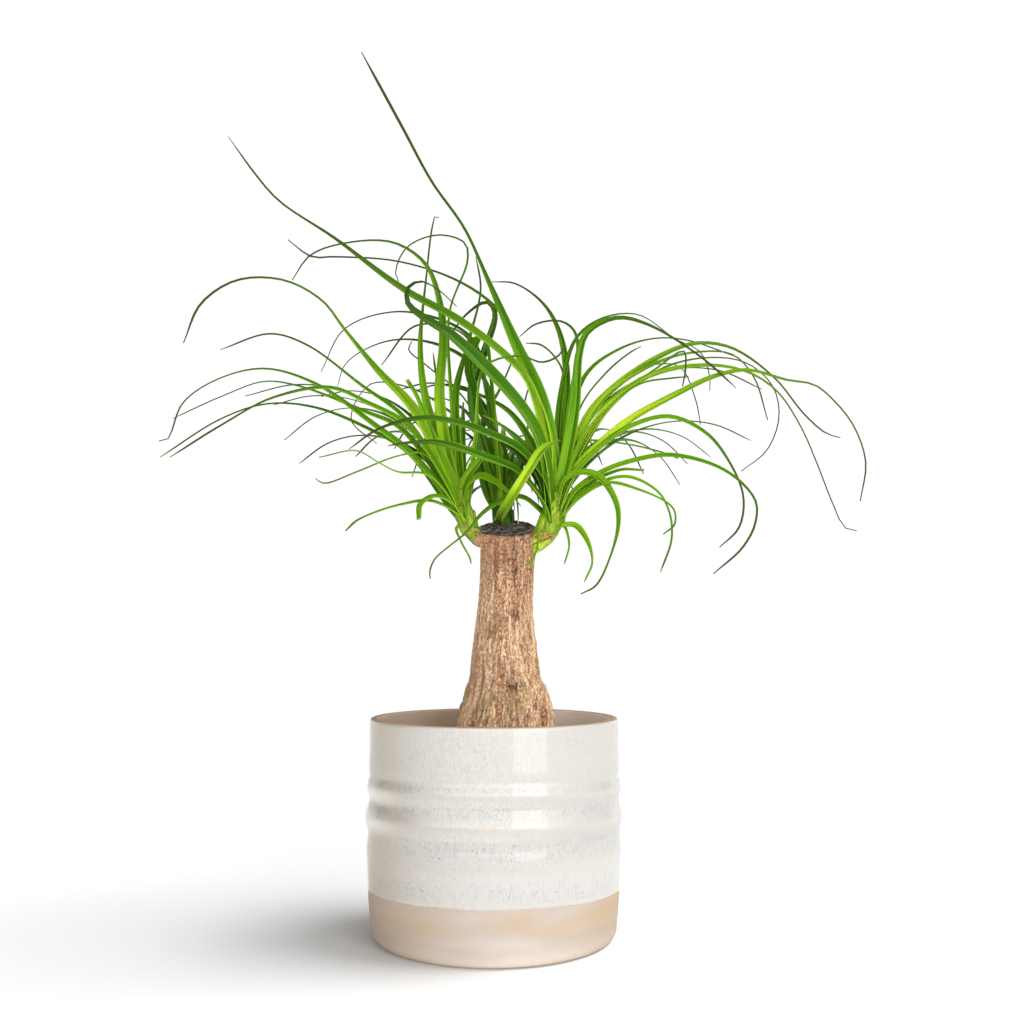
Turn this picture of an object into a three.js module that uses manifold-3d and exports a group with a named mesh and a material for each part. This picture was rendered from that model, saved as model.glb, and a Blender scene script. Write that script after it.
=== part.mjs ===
// A potted ponytail palm: a glazed stoneware cover pot, the nursery pot and soil
// inside it, a cut-topped trunk, and three leafy shoots that grow from its top.
// Millimetres, +Z up, +X to the right and +Y away from the viewer.
// The origin is the middle of the pot's underside.

import * as THREE from "three";
import { mergeVertices } from "three/addons/utils/BufferGeometryUtils.js";
import Module from "manifold-3d";

const wasm = await Module();
wasm.setup();

// Driving dimensions of the cover pot

const potHeight = 124;
const potRadius = 73;
const potWall = 4;
const potFloor = 6;
const potFootRound = 5.5;
const potFacets = 40;

// Driving dimensions of the nursery pot and the soil

const gap = 0.3;
const nurseryHeight = 97;
const nurseryRimRadius = 64;
const nurseryBaseRadius = 47;
const nurseryWall = 1;
const nurseryLip = 2.5;
const nurseryFacets = 36;
const drainHoles = 4;
const drainHoleRadius = 4;
const drainHoleCircle = 33;
const soilBelowRim = 7;
const soilDome = 3;

// Driving dimensions of the trunk

const trunkFacets = 24;
const trunkCutHeight = 236;
const trunkCutLean = 0.4;
const trunkCutThickness = 60;
const trunkLevels = [
  // height, centre across, radius
  [66, 5, 15],
  [71, 5, 25],
  [80, 5.2, 31],
  [92, 5.5, 34],
  [105, 5.7, 33],
  [119, 5.7, 29.7],
  [127, 6.2, 27.5],
  [139, 6.6, 23.9],
  [148, 6.2, 21.3],
  [166, 6.2, 19.1],
  [189, 6.4, 16.5],
  [207, 7.5, 16.2],
  [225, 8.2, 16.6],
  [252, 8.6, 16.6],
];
const flareTop = 170;
const flareRibs = 7;
const flareRibShare = 0.05;

// The viewer's eye: leaf routes are read across and up on the plane through the
// trunk, and a point of its own depth lies on the same line of sight

const eye = new THREE.Vector3(10.5, -653, 176);

// Leaf blades

const bladeKeelShare = 0.22;
const bladeThinnest = 0.7;
const bladeNarrowest = 0.9;
const claspShare = 1.3;
const taperedTip = 0.14;
const bluntTip = 0.62;
const tapers = {
  // shares of the length at which a blade starts to narrow and is narrowest
  leaves: [0.12, 0.84],
  whips: [0.2, 0.58],
  straps: [0.45, 0.97],
  steered: [0.45, 1],
};
const sampleStep = 3;
const bladeClearance = 1.1;
const bends = [0, 1, -1, 2, -2, 3, -3, 4, -4, 5, -5, 6, -6, 7, -7, 8, -8, 9, -9, 10, -10];
const bendReaches = [0.5, 0.22];

// Each leaf: width, depth of its tip, then its route across and up, root first

const rightShoot = {
  name: "shoot_right",
  colour: 0x5ea31a,
  depth: -3,
  stemStart: -3,
  stem: [[18, 224, 5.4], [26, 229, 6.4], [32, 236, 7], [36, 247, 6.4], [38.5, 260, 4]],
  leaves: [
    [3.5, 25, 36, 250, 35, 285, 30, 315, 20, 340, 3, 371, -22, 390, -60, 403, -100, 406,
      -114, 406, -129, 417],
    [6.5, -55, 38, 248, 48, 270, 63, 286, 83, 303, 115, 321, 135, 330, 155, 334, 179, 328, 196, 325,
      206, 317, 219, 300, 226, 277, 222, 253],
    [5.6, -20, 38, 246, 45, 269, 56, 292, 73, 315, 94, 330, 128, 337, 155, 333, 173, 321, 187, 299,
      196, 277, 205, 252, 212, 237, 219, 235],
    [6.2, 35, 38, 247, 48, 281, 57, 305, 72, 322, 102, 343, 124, 351, 146, 348, 172, 329, 189, 307,
      202, 295, 211, 292],
    [4.8, 10, 38, 250, 54, 297, 69, 319, 98, 338, 121, 345, 146, 344, 159, 330, 167, 303],
    [7.5, -30, 38, 240, 41, 265, 49, 310, 52, 345, 57, 358, 75, 367, 94, 363, 126, 343, 148, 323],
    [4, 50, 37, 242, 37, 275, 41, 322, 50, 354, 67, 367, 89, 369, 111, 354, 127, 345, 132, 330, 132, 321],
    [4, 70, 38, 246, 43, 280, 55, 330, 76, 347, 98, 354, 118, 353, 150, 342],
    [5.5, -70, 39, 248, 46, 266, 61, 283, 79, 297, 106, 305, 129, 295, 143, 277, 151, 256,
      148, 237, 136, 225],
    [5, -90, 39, 242, 48, 258, 64, 270, 85, 278, 109, 281, 140, 272, 158, 254, 158, 240, 150, 225, 132, 209],
    [3, -45, 40, 245, 55, 260, 80, 268, 99, 259, 106, 246, 107, 230, 100, 210],
    [3.5, -60, 40, 243, 50, 254, 68, 264, 88, 260, 108, 249, 109, 239, 102, 233],
    [2, 60, 37, 255, 44, 285, 54, 290, 81, 288, 105, 282, 112, 279],
    [5, -60, 38, 250, 42, 265, 50, 270, 62, 269, 73, 254, 75, 240, 70, 220, 61, 202, 52, 197],
    [4.5, -35, 34, 236, 41, 238, 49, 238, 56, 229, 59, 216, 54, 204],
    [1.5, -25, 38, 240, 42, 238, 45, 227, 42, 215],
    [2, -32, 32, 250, 27, 240, 26, 226, 22, 216, 17, 214],
    [2, 30, 38, 250, 42, 331, 37, 342, 28, 350, 19, 351],
    [4, -34, 31, 244, 18, 255, 8, 255, -7, 246, -17, 234, -27, 226, -36, 218, -39, 211, -39, 206],
    [2, 55, 38, 250, 55, 300, 80, 330, 95, 337, 114, 336, 123, 316, 126, 300],
    [2.2, 30, 38, 250, 70, 310, 110, 338, 151, 340, 170, 325, 174, 305, 166, 284, 150, 271],
    [2, -15, 38, 250, 60, 300, 88, 325, 108, 329, 119, 330],
    [1.8, 85, 38, 250, 52, 310, 68, 332, 83, 345, 90, 349],
    [2, -40, 38, 250, 60, 305, 99, 335, 116, 346, 117, 334, 115, 324],
    [5.5, 45, 34, 250, 27, 278, 10, 307, -8, 318, -20, 322, -40, 326, -58, 322],
    [2.8, -20, 36, 245, 35, 290, 27, 318, 15, 341],
  ],
  whips: [
    [10, -25, 36, 240, 35, 262, 33, 290, 26, 320, 13, 350, -4, 390, -19, 424, -40, 455, -58, 489, -85, 540],
  ],
  straps: [
    [6, -45, 36, 240, 35, 262, 31, 285, 20, 328, 8, 342, -22, 365, -55, 384, -100, 418, -135, 442,
      -150, 459, -168, 484],
    [9, -60, 34, 245, 32, 265, 28, 288, 21, 304, -9, 339, -28, 357, -44, 367, -54, 376, -54, 386,
      -47, 390, -36, 385, -24, 374],
    [6.8, -75, 35, 240, 34, 254, 30, 268, 15, 285, -3, 294, -22, 301, -44, 304, -70, 298, -89, 285],
    [6.4, -88, 33, 240, 31, 250, 24, 261, 13, 272, -3, 279, -35, 289, -52, 289, -65, 287],
    [6.5, -25, 33, 245, 30, 262, 22, 280, 11, 294, -1, 303, -7, 306],
    [4.2, 40, 38, 248, 42, 300, 44, 332, 39, 360, 29, 377, 12, 389, -2, 390],
    [3, 20, 38, 245, 44, 300, 51, 350, 48, 360, 40, 365, 25, 363, 15, 355],
  ],
  bluntLeaves: [
    [3, -15, 40, 247, 55, 262, 76, 272, 91, 272],
  ],
  steered: [],
  fill: { count: 14, from: 8, to: 140, droop: [0, 45], longest: 210 },
};

const leftShoot = {
  name: "shoot_left",
  colour: 0x579c1c,
  depth: -3,
  stemStart: -3,
  stem: [[-5, 230, 4.6], [-11, 233.5, 5.2], [-16, 240, 5.8], [-19.5, 249, 5.4], [-21.5, 260, 3.6]],
  leaves: [
    [3.5, 25, -20, 245, -32, 270, -56, 305, -81, 324, -116, 350, -139, 357, -169, 347],
    [5, -70, -18, 240, -28, 255, -52, 283, -74, 300, -109, 325, -141, 335, -169, 329, -191, 314,
      -200, 291, -205, 290],
    [4, 15, -20, 244, -30, 262, -58, 298, -79, 308, -120, 324, -142, 327, -167, 318, -197, 304],
    [3, 60, -18, 238, -28, 250, -52, 282, -78, 298, -111, 311, -140, 313, -167, 304, -204, 280],
    [5.5, -95, -19, 243, -28, 262, -54, 300, -79, 314, -101, 323, -136, 317, -167, 300, -198, 280],
    [1.8, 40, -20, 245, -45, 290, -90, 320, -122, 325, -153, 318],
    [2.5, -60, -17, 238, -27, 255, -40, 269, -59, 271, -71, 277, -84, 284, -107, 280],
    [2, -30, -17, 238, -22, 250, -43, 282, -58, 281, -84, 271, -104, 264, -109, 267],
    [2.8, -70, -17, 240, -23, 246, -38, 253, -57, 251, -82, 242, -90, 235],
    [1.4, -26, -18, 240, -23, 237, -20, 228, -15, 219, -14, 215],
    [6, 10, -20, 248, -30, 275, -43, 319, -46, 350, -43, 391, -39, 427, -37, 433, -35, 431],
    [7, -8, -20, 246, -28, 275, -34, 319, -32, 350, -34, 376, -43, 401, -63, 415, -92, 415,
      -115, 407, -126, 391],
    [7, 16, -20, 248, -22, 268, -24, 319, -16, 353, -9, 385, -12, 406],
    [2, 28, -21, 255, -27, 320, -28, 371, -17, 404, -19, 415, -36, 420, -55, 412, -62, 396, -60, 390],
    [2.5, -20, -17, 245, -12, 290, -6, 336, 15, 343, 29, 339, 39, 343, 43, 349],
    [6, 20, -18, 240, -24, 262, -27, 280, -30, 300, -36, 330, -38, 345],
  ],
  whips: [
    [7.5, -35, -17, 240, -25, 262, -50, 310, -72, 334, -93, 360, -107, 378, -131, 391, -160, 391,
      -182, 376, -192, 351],
  ],
  straps: [
    [6.5, -28, -17, 240, -18, 251, -17, 262, -9, 268, 0, 265, 11, 256, 16, 250],
  ],
  bluntLeaves: [
    [4, -40, -17, 240, -27, 253, -37, 256, -45, 251, -46, 242],
    [5.5, -14, -18, 246, -19, 264, -11, 276, -6, 283],
    [3, -30, -20, 250, -33, 280, -48, 318, -54, 328],
    [6.5, 12, -20, 246, -29, 271, -35, 308],
  ],
  steered: [],
  fill: { count: 13, from: 42, to: 168, droop: [0, 45], longest: 200 },
};

const backShoot = {
  name: "shoot_back",
  colour: 0x3f7d17,
  depth: 20,
  stemStart: 9,
  stem: [[7, 225, 5.6], [6, 235, 6], [5, 246, 5.6], [3.5, 260, 3.6]],
  leaves: [
    [2.5, 80, 4, 247, -8, 290, -30, 310, -52, 323, -77, 325, -88, 303, -72, 288],
    [1.8, 45, 5, 247, -5, 325, -20, 357, -49, 362, -70, 337],
    [1.5, 42, 4, 247, -5, 290, -20, 318, -42, 337, -53, 347, -51, 352],
    [5.5, 70, 3, 248, -9, 285, -6, 305, 3, 322, 10, 338, 15, 352],
    [6.5, 38, 4, 246, -3, 256, -7, 268, -9, 285, -6, 300, -2, 314],
    [6, 48, 6, 247, 12, 262, 17, 280, 20, 295, 20, 312],
    [5, 34, 5, 247, 9, 256, 16, 265, 24, 272, 34, 276, 44, 274],
  ],
  whips: [],
  straps: [
    [2.6, 60, 5, 247, -5, 320, -12, 350, -25, 362, -60, 371, -93, 360, -107, 333],
    [3, 90, 4, 247, -5, 325, -22, 344, -48, 353, -71, 351, -92, 338, -97, 323],
    [5.5, 35, 4, 247, -14, 320, -6, 347, 0, 370, -5, 377, -18, 369, -32, 349],
    [4.2, 50, 4, 248, 0, 285, -6, 310, -17, 322, -35, 325, -49, 321],
    [3.6, 70, 4, 247, -5, 280, -15, 305, -30, 316, -45, 316],
    [6, -40, 5, 245, 1, 290, -2, 330, -5, 352, -9, 356, -13, 349, -16, 335, -12, 320, -6, 303,
      3, 292, 8, 278, 12, 261, 14, 248, 14, 239],
  ],
  bluntLeaves: [],
  steered: [
    // width, then across, up and depth at each point: it lies over the cut, then rises in front
    [4.8, 2.5, 242, 16, 3.8, 244.5, -3, 6.5, 249, -18, 13, 260, -36, 21, 273, -37,
      29, 285, -38, 38, 290, -39, 40, 290, -40],
  ],
  fill: { count: 14, from: 60, to: 125, droop: [15, 62], longest: 210 },
};

const shoots = [rightShoot, leftShoot, backShoot];
const leafKinds = ["leaves", "whips", "straps", "bluntLeaves", "steered"];

// The fill leaves, which the viewer sees behind the others

const fillShortest = 120;
const fillRise = [48, 82];
const fillWidth = [3.5, 6];
const fillSpans = 6;

// Small helpers

const mix = (low, high, share) => low + (high - low) * share;

function draw(index, salt) {
  const wave = Math.sin(index * 12.9898 + salt * 78.233) * 43758.5453;
  return wave - Math.floor(wave);
}

function smooth(value) {
  const share = Math.min(1, Math.max(0, value));
  return share * share * (3 - 2 * share);
}

function material(colour, roughness, metalness = 0) {
  return new THREE.MeshStandardMaterial({ color: colour, roughness, metalness });
}

// Solids from geometries, and back

function solidOf(geometry) {
  geometry.deleteAttribute("normal");
  geometry.deleteAttribute("uv");
  const merged = mergeVertices(geometry, 1e-4);
  const corners = merged.index.array;
  const kept = [];
  for (let first = 0; first < corners.length; first += 3) {
    const [a, b, c] = [corners[first], corners[first + 1], corners[first + 2]];
    if (a !== b && b !== c && c !== a) {
      kept.push(a, b, c);
    }
  }
  return new wasm.Manifold(new wasm.Mesh({
    numProp: 3,
    vertProperties: Float32Array.from(merged.attributes.position.array),
    triVerts: Uint32Array.from(kept),
  }));
}

function geometryOf(solid) {
  const mesh = solid.getMesh();
  const geometry = new THREE.BufferGeometry();
  geometry.setAttribute("position", new THREE.BufferAttribute(mesh.vertProperties, 3));
  geometry.setIndex(new THREE.BufferAttribute(mesh.triVerts, 1));
  geometry.computeVertexNormals();
  return geometry;
}

// The outer body alone, with any hollow that the joined blades sealed filled in

function largest(solid) {
  return solid.decompose().reduce((best, body) => (body.volume() > best.volume() ? body : best));
}

// A closed skin over rings of the same number of points, in order along the piece

function loft(rings) {
  const sides = rings[0].length;
  const points = rings.flat();
  const faces = [];
  for (let ring = 0; ring + 1 < rings.length; ring += 1) {
    for (let side = 0; side < sides; side += 1) {
      const next = (side + 1) % sides;
      const low = ring * sides;
      const high = low + sides;
      faces.push(low + side, low + next, high + next);
      faces.push(low + side, high + next, high + side);
    }
  }
  const last = (rings.length - 1) * sides;
  for (let side = 1; side + 1 < sides; side += 1) {
    faces.push(0, side + 1, side);
    faces.push(last, last + side, last + side + 1);
  }
  const geometry = new THREE.BufferGeometry();
  geometry.setFromPoints(points);
  geometry.setIndex(faces);
  return geometry;
}

// The cover pot, with the shallow ridges that the potter's fingers left

function potProfile() {
  const outside = [
    [71.5, 9], [72.7, 24], [73.4, 33], [74.2, 46], [73.9, 56], [75.1, 67],
    [73.8, 77], [74.4, 83.6], [73.8, 92], [potRadius, 107], [potRadius, potHeight - 1.2],
    [potRadius - 1.2, potHeight],
  ];
  const inside = [
    [potRadius - potWall + 1.2, potHeight], [potRadius - potWall, potHeight - 1.2],
    [69.4, 84], [69.6, 60], [68, 24], [66, 13], [60, potFloor], [0, potFloor],
  ];
  const foot = [];
  for (let step = 0; step <= 3; step += 1) {
    const turn = (step / 3) * Math.PI / 2;
    foot.push([
      potRadius - 1.8 - potFootRound + potFootRound * Math.sin(turn),
      potFootRound - potFootRound * Math.cos(turn),
    ]);
  }
  const outline = [[0, 0], ...foot, ...outside, ...inside];
  return outline.map(([radius, height]) => new THREE.Vector2(radius, height));
}

function lathe(profile, facets) {
  const geometry = new THREE.LatheGeometry(profile, facets);
  geometry.rotateX(Math.PI / 2);
  return geometry;
}

function pot() {
  return geometryOf(solidOf(lathe(potProfile(), potFacets)));
}

// The nursery pot: a thin tapered cup with a turned-out lip and drain holes

function nurseryPot() {
  const foot = potFloor + gap;
  const rim = foot + nurseryHeight;
  const inner = nurseryRimRadius - nurseryLip - nurseryWall;
  const profile = [
    [0, foot], [nurseryBaseRadius, foot], [nurseryRimRadius - nurseryLip, rim - 6],
    [nurseryRimRadius, rim - 6], [nurseryRimRadius, rim], [inner, rim],
    [inner, rim - 6], [nurseryBaseRadius - nurseryWall, foot + 1.2], [0, foot + 1.2],
  ];
  const outline = profile.map(([radius, height]) => new THREE.Vector2(radius, height));
  let solid = solidOf(lathe(outline, nurseryFacets));
  for (let hole = 0; hole < drainHoles; hole += 1) {
    const turn = ((hole + 0.5) / drainHoles) * Math.PI * 2;
    const drill = new THREE.CylinderGeometry(drainHoleRadius, drainHoleRadius, 8, 12);
    drill.rotateX(Math.PI / 2);
    drill.translate(drainHoleCircle * Math.cos(turn), drainHoleCircle * Math.sin(turn), foot);
    solid = solid.subtract(solidOf(drill));
  }
  return geometryOf(solid);
}

// The trunk: a flared, ribbed foot that narrows upwards, cut off on a slant

function trunkRing([height, across, radius], spare) {
  const flare = flareRibShare * smooth((flareTop - height) / (flareTop - 119));
  const ring = [];
  for (let side = 0; side < trunkFacets; side += 1) {
    const turn = (side / trunkFacets) * Math.PI * 2;
    const reach = radius * (1 + flare * Math.cos(flareRibs * turn + 0.6)) + spare;
    ring.push(new THREE.Vector3(across + reach * Math.cos(turn), reach * Math.sin(turn), height));
  }
  return ring;
}

function trunkBody(spare) {
  const levels = trunkLevels.map(([height, across, radius], index) => (
    [index === 0 ? height - spare : height, across, radius]
  ));
  const rings = levels.map((level) => trunkRing(level, spare));
  const knee = new THREE.SphereGeometry(1, 12, 8);
  knee.scale(6 + spare, 8 + spare, 7 + spare);
  knee.translate(-7.5, -2, 230.5);
  const cutter = new THREE.BoxGeometry(120, 120, trunkCutThickness);
  cutter.rotateX(Math.atan(trunkCutLean));
  cutter.translate(0, 0, trunkCutHeight + spare + (trunkCutThickness / 2) * Math.hypot(1, trunkCutLean));
  return solidOf(loft(rings)).add(solidOf(knee)).subtract(solidOf(cutter));
}

function trunkReach(height) {
  const top = trunkLevels.findIndex((level) => level[0] >= height);
  if (top < 1) {
    return { across: trunkLevels[0][1], radius: 0 };
  }
  const low = trunkLevels[top - 1];
  const high = trunkLevels[top];
  const share = (height - low[0]) / (high[0] - low[0]);
  return { across: mix(low[1], high[1], share), radius: mix(low[2], high[2], share) };
}

// The soil: it fills the nursery pot round the buried foot of the trunk

function soil() {
  const foot = potFloor + gap + 1.2 + gap;
  const rim = potFloor + gap + nurseryHeight;
  const inner = nurseryRimRadius - nurseryLip - nurseryWall;
  const top = rim - soilBelowRim;
  const wallAt = (height) => (
    mix(nurseryBaseRadius - nurseryWall, inner, (height - foot) / (rim - 6 - foot)) - 0.4
  );
  const profile = [
    [0, foot], [wallAt(foot), foot], [wallAt(top), top],
    [52, top + 0.8], [40, top + soilDome], [0, top + soilDome],
  ];
  const outline = profile.map(([radius, height]) => new THREE.Vector2(radius, height));
  return geometryOf(solidOf(lathe(outline, nurseryFacets)).subtract(trunkBody(gap)));
}

// A shoot's short stem: the bundle of leaf bases that grows out of the trunk

function stemCentre(shoot, index) {
  const [across, up] = shoot.stem[index];
  return onSight(across, up, mix(shoot.stemStart, shoot.depth, smooth(index / 2)));
}

function stemBody(shoot, spare) {
  const sides = 12;
  const rings = shoot.stem.map(([across, up, radius], index) => {
    const before = shoot.stem[Math.max(0, index - 1)];
    const after = shoot.stem[Math.min(shoot.stem.length - 1, index + 1)];
    const lean = Math.atan2(after[0] - before[0], after[1] - before[1]);
    const centre = stemCentre(shoot, index);
    if (index === 0) {
      centre.x -= spare * Math.sin(lean);
      centre.z -= spare * Math.cos(lean);
    }
    const ring = [];
    for (let side = 0; side < sides; side += 1) {
      const turn = (side / sides) * Math.PI * 2;
      const wide = (radius + spare) * Math.cos(turn);
      const deep = (radius * 0.82 + spare) * Math.sin(turn);
      ring.push(new THREE.Vector3(
        centre.x + wide * Math.cos(lean), centre.y + deep, centre.z - wide * Math.sin(lean),
      ));
    }
    return ring;
  });
  return solidOf(loft(rings));
}

// Leaf routes

function onSight(across, up, depth) {
  const share = (depth - eye.y) / -eye.y;
  return new THREE.Vector3(mix(eye.x, across, share), depth, mix(eye.z, up, share));
}

function readRoute(shoot, [, tipDepth, ...route], bow, reach) {
  const count = route.length / 2;
  const along = [0];
  for (let knot = 1; knot < count; knot += 1) {
    const across = route[2 * knot] - route[2 * knot - 2];
    const up = route[2 * knot + 1] - route[2 * knot - 1];
    along.push(along[knot - 1] + Math.hypot(across, up));
  }
  const root = shoot.depth + Math.min(4, Math.max(-4, (tipDepth - shoot.depth) * 0.08));
  return along.map((length, knot) => {
    const share = length / along[count - 1];
    const depth = root + (tipDepth - root) * share ** 1.3 + bow * smooth(share / reach);
    return onSight(route[2 * knot], route[2 * knot + 1], depth);
  });
}

function steeredRoute([, ...route]) {
  const count = route.length / 3;
  return Array.from({ length: count }, (_, knot) => onSight(...route.slice(3 * knot, 3 * knot + 3)));
}

function archRoute(shoot, index, turned, lowered) {
  const { count, from, to, droop: droops, longest } = shoot.fill;
  const salt = shoot.depth + shoot.stem[0][0];
  const heading = THREE.MathUtils.degToRad(mix(from, to, (index + 0.8 * draw(index, salt)) / count) + turned);
  const rise = THREE.MathUtils.degToRad(mix(...fillRise, draw(index, salt + 1)) - lowered);
  const droop = THREE.MathUtils.degToRad(mix(...droops, draw(index, salt + 2)));
  const length = mix(fillShortest, longest, draw(index, salt + 3));
  const [across, up] = shoot.stem[shoot.stem.length - 2];
  const here = onSight(across, up, shoot.depth);
  const line = [here.clone()];
  for (let knot = 1; knot <= fillSpans; knot += 1) {
    const share = (knot - 0.5) / fillSpans;
    const slope = mix(rise, -droop, share ** 1.2);
    const stride = length / fillSpans;
    here.x += stride * Math.cos(slope) * Math.cos(heading);
    here.y += stride * Math.cos(slope) * Math.sin(heading);
    here.z += stride * Math.sin(slope);
    line.push(here.clone());
  }
  return line;
}

// A blade's width and face at a share of its length

function widthAt(leaf, share) {
  const base = leaf.width * mix(claspShare, 1, smooth(share / 0.15));
  if (leaf.kind === "bluntLeaves") {
    return Math.max(bladeNarrowest, base * mix(1, bluntTip, share ** 3));
  }
  const [start, end] = tapers[leaf.kind];
  return Math.max(bladeNarrowest, base * mix(1, taperedTip, smooth((share - start) / (end - start))));
}

function samplesOf(leaf) {
  const curve = new THREE.CatmullRomCurve3(leaf.knots, false, "centripetal");
  const count = Math.ceil(curve.getLength() / sampleStep);
  return curve.getSpacedPoints(count).map((point, index) => ({ point, width: widthAt(leaf, index / count) }));
}

function stemSamples(shoot) {
  return shoot.stem.map(([, , radius], index) => ({ point: stemCentre(shoot, index), width: 2 * radius }));
}

// Whether a leaf stays clear of the trunk and of the leaves of the other shoots

function isClear(samples, others) {
  return samples.every(({ point, width }, index) => {
    if (index > 5 && point.z < trunkCutHeight + trunkCutLean * point.y + 2) {
      const { across, radius } = trunkReach(point.z);
      if (Math.hypot(point.x - across, point.y) < radius + width / 2 + 1) {
        return false;
      }
    }
    return others.every((other) => (
      Math.abs(other.point.y - point.y) > 9 || Math.abs(other.point.z - point.z) > 9
      || other.point.distanceTo(point) > 0.5 * (width + other.width) + bladeClearance
    ));
  });
}

function settle(shoot, leaf, placed) {
  const others = placed.filter((one) => one.shoot !== shoot).flatMap((one) => one.samples);
  const forward = leaf.forward ? -1 : 1;
  for (const bend of bends) {
    for (const reach of bendReaches) {
      leaf.knots = leaf.route(bend * forward, reach);
      leaf.samples = samplesOf(leaf);
      if (isClear(leaf.samples, others)) {
        return;
      }
    }
  }
  throw new Error(`no clear way for a leaf of ${shoot.name}`);
}

// The leaves of all shoots, each bent clear of those placed before it

function placeLeaves() {
  const placed = shoots.map((shoot) => ({ shoot, samples: stemSamples(shoot) }));
  for (const shoot of shoots) {
    for (const kind of leafKinds) {
      for (const spec of shoot[kind]) {
        placed.push({
          shoot,
          kind,
          width: spec[0],
          forward: spec[1] < shoot.depth,
          face: new THREE.Vector3(0, -0.8, 0.6),
          route: (bend, reach) => (
            kind === "steered" ? steeredRoute(spec) : readRoute(shoot, spec, bend * 5, reach)
          ),
        });
        settle(shoot, placed.at(-1), placed);
      }
    }
  }
  for (const shoot of shoots) {
    for (let index = 0; index < shoot.fill.count; index += 1) {
      const lean = mix(-0.6, 0.6, draw(index, 11));
      placed.push({
        shoot,
        width: mix(...fillWidth, draw(index, 7)),
        kind: "leaves",
        forward: false,
        face: new THREE.Vector3(lean, -0.3, 1).normalize(),
        route: (bend, reach) => archRoute(shoot, index, bend * 4, reach < 0.5 ? 14 : 0),
      });
      settle(shoot, placed.at(-1), placed);
    }
  }
  return placed.filter((one) => one.knots);
}

// One blade: rings of two edges and a keel, kept from twisting along the route

function blade(leaf) {
  const curve = new THREE.CatmullRomCurve3(leaf.knots, false, "centripetal");
  const spans = leaf.knots.length - 1;
  const stations = Math.max(spans, Math.round(curve.getLength() / 30));
  const steps = Array.from({ length: stations + 1 }, (_, index) => index / stations);
  const tangents = steps.map((step) => curve.getTangent(step));
  const middle = Math.floor(stations / 2);
  const sides = [];
  sides[middle] = tangents[middle].clone().cross(leaf.face).normalize();
  for (let index = middle + 1; index <= stations; index += 1) {
    sides[index] = sides[index - 1].clone().projectOnPlane(tangents[index]).normalize();
  }
  for (let index = middle - 1; index >= 0; index -= 1) {
    sides[index] = sides[index + 1].clone().projectOnPlane(tangents[index]).normalize();
  }
  const rings = steps.map((step, index) => {
    const point = curve.getPoint(step);
    const width = widthAt(leaf, step);
    const keel = Math.max(bladeThinnest, width * bladeKeelShare);
    const up = sides[index].clone().cross(tangents[index]);
    return [
      point.clone().addScaledVector(sides[index], -width / 2),
      point.clone().addScaledVector(sides[index], width / 2),
      point.clone().addScaledVector(up, -keel),
    ];
  });
  return solidOf(loft(rings));
}

// Putting the plant together

function piece(name, geometry, finish) {
  const mesh = new THREE.Mesh(geometry, finish);
  mesh.name = name;
  return mesh;
}

const plant = new THREE.Group();
plant.add(piece("pot", pot(), material(0xe2e1df, 0.22)));
plant.add(piece("nursery_pot", nurseryPot(), material(0x2b2b2c, 0.5)));
plant.add(piece("soil", soil(), material(0x3a2a1f, 0.95)));

let trunk = trunkBody(0);
for (const shoot of shoots) {
  trunk = trunk.subtract(stemBody(shoot, gap));
}
plant.add(piece("trunk", geometryOf(trunk), material(0xb08560, 0.9)));

const leaves = placeLeaves();
for (const shoot of shoots) {
  let body = stemBody(shoot, 0);
  for (const leaf of leaves.filter((one) => one.shoot === shoot)) {
    body = body.add(blade(leaf));
  }
  plant.add(piece(shoot.name, geometryOf(largest(body)), material(shoot.colour, 0.45)));
}

export default plant;
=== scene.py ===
# The finish of a potted ponytail palm: a glazed stoneware cover pot, the nursery
# pot and soil in it, a cut-topped trunk and three sprays of strap leaves.
# Lengths are in millimetres until a mesh is finished, and metres from then on.

import math

import bmesh
import bpy
import numpy as np
from mathutils import Matrix, Vector, noise


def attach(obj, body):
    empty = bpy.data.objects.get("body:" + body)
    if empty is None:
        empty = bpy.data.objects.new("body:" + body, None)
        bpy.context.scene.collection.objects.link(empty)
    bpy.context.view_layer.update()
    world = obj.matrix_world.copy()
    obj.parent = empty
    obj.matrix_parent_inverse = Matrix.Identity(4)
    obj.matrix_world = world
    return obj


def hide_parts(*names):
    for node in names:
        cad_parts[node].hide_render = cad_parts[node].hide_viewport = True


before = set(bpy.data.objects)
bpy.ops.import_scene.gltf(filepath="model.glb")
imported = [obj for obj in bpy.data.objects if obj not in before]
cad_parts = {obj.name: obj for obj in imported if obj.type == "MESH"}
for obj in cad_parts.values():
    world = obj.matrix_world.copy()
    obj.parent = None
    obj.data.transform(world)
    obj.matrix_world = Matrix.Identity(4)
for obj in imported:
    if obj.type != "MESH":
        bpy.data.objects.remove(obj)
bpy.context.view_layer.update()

MM = 0.001
GAP = 0.3

# Driving dimensions of the cover pot

POT_HEIGHT = 124
POT_RADIUS = 73
POT_WALL = 4
POT_FLOOR = 6
POT_FOOT_ROUND = 5.5
POT_TURNS = 224
GLAZE_LINE = 27
GLAZE_THICKNESS = 0.4
POT_SIDE = [
    # height, radius
    (8, 71.3), (20, 72.6), (33, 73.2), (50, 73.7), (97, 73.3), (107, 73), (124, 73),
]
POT_INSIDE = [
    # radius, height, from under the lip to the corner of the floor
    (69.4, 84), (69.6, 60), (68, 24), (66, 13), (60, POT_FLOOR),
]
RIDGES = [
    # height, how far it stands out, reach up and down
    (84, 0.75, 3.6), (67.5, 1.35, 5), (47, 0.35, 6),
]
GROOVES = [
    # height, depth, reach up and down
    (91, 0.4, 2.6), (77.5, 0.55, 3.2), (58, 0.35, 3.6),
]
RIDGE_TILT = 4
GLAZE_EDGE_WAVES = [(0.8, 5), (0.35, 23), (0.18, 70)]
RAW_CLAY, INSIDE_CLAY = 1, 2

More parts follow.
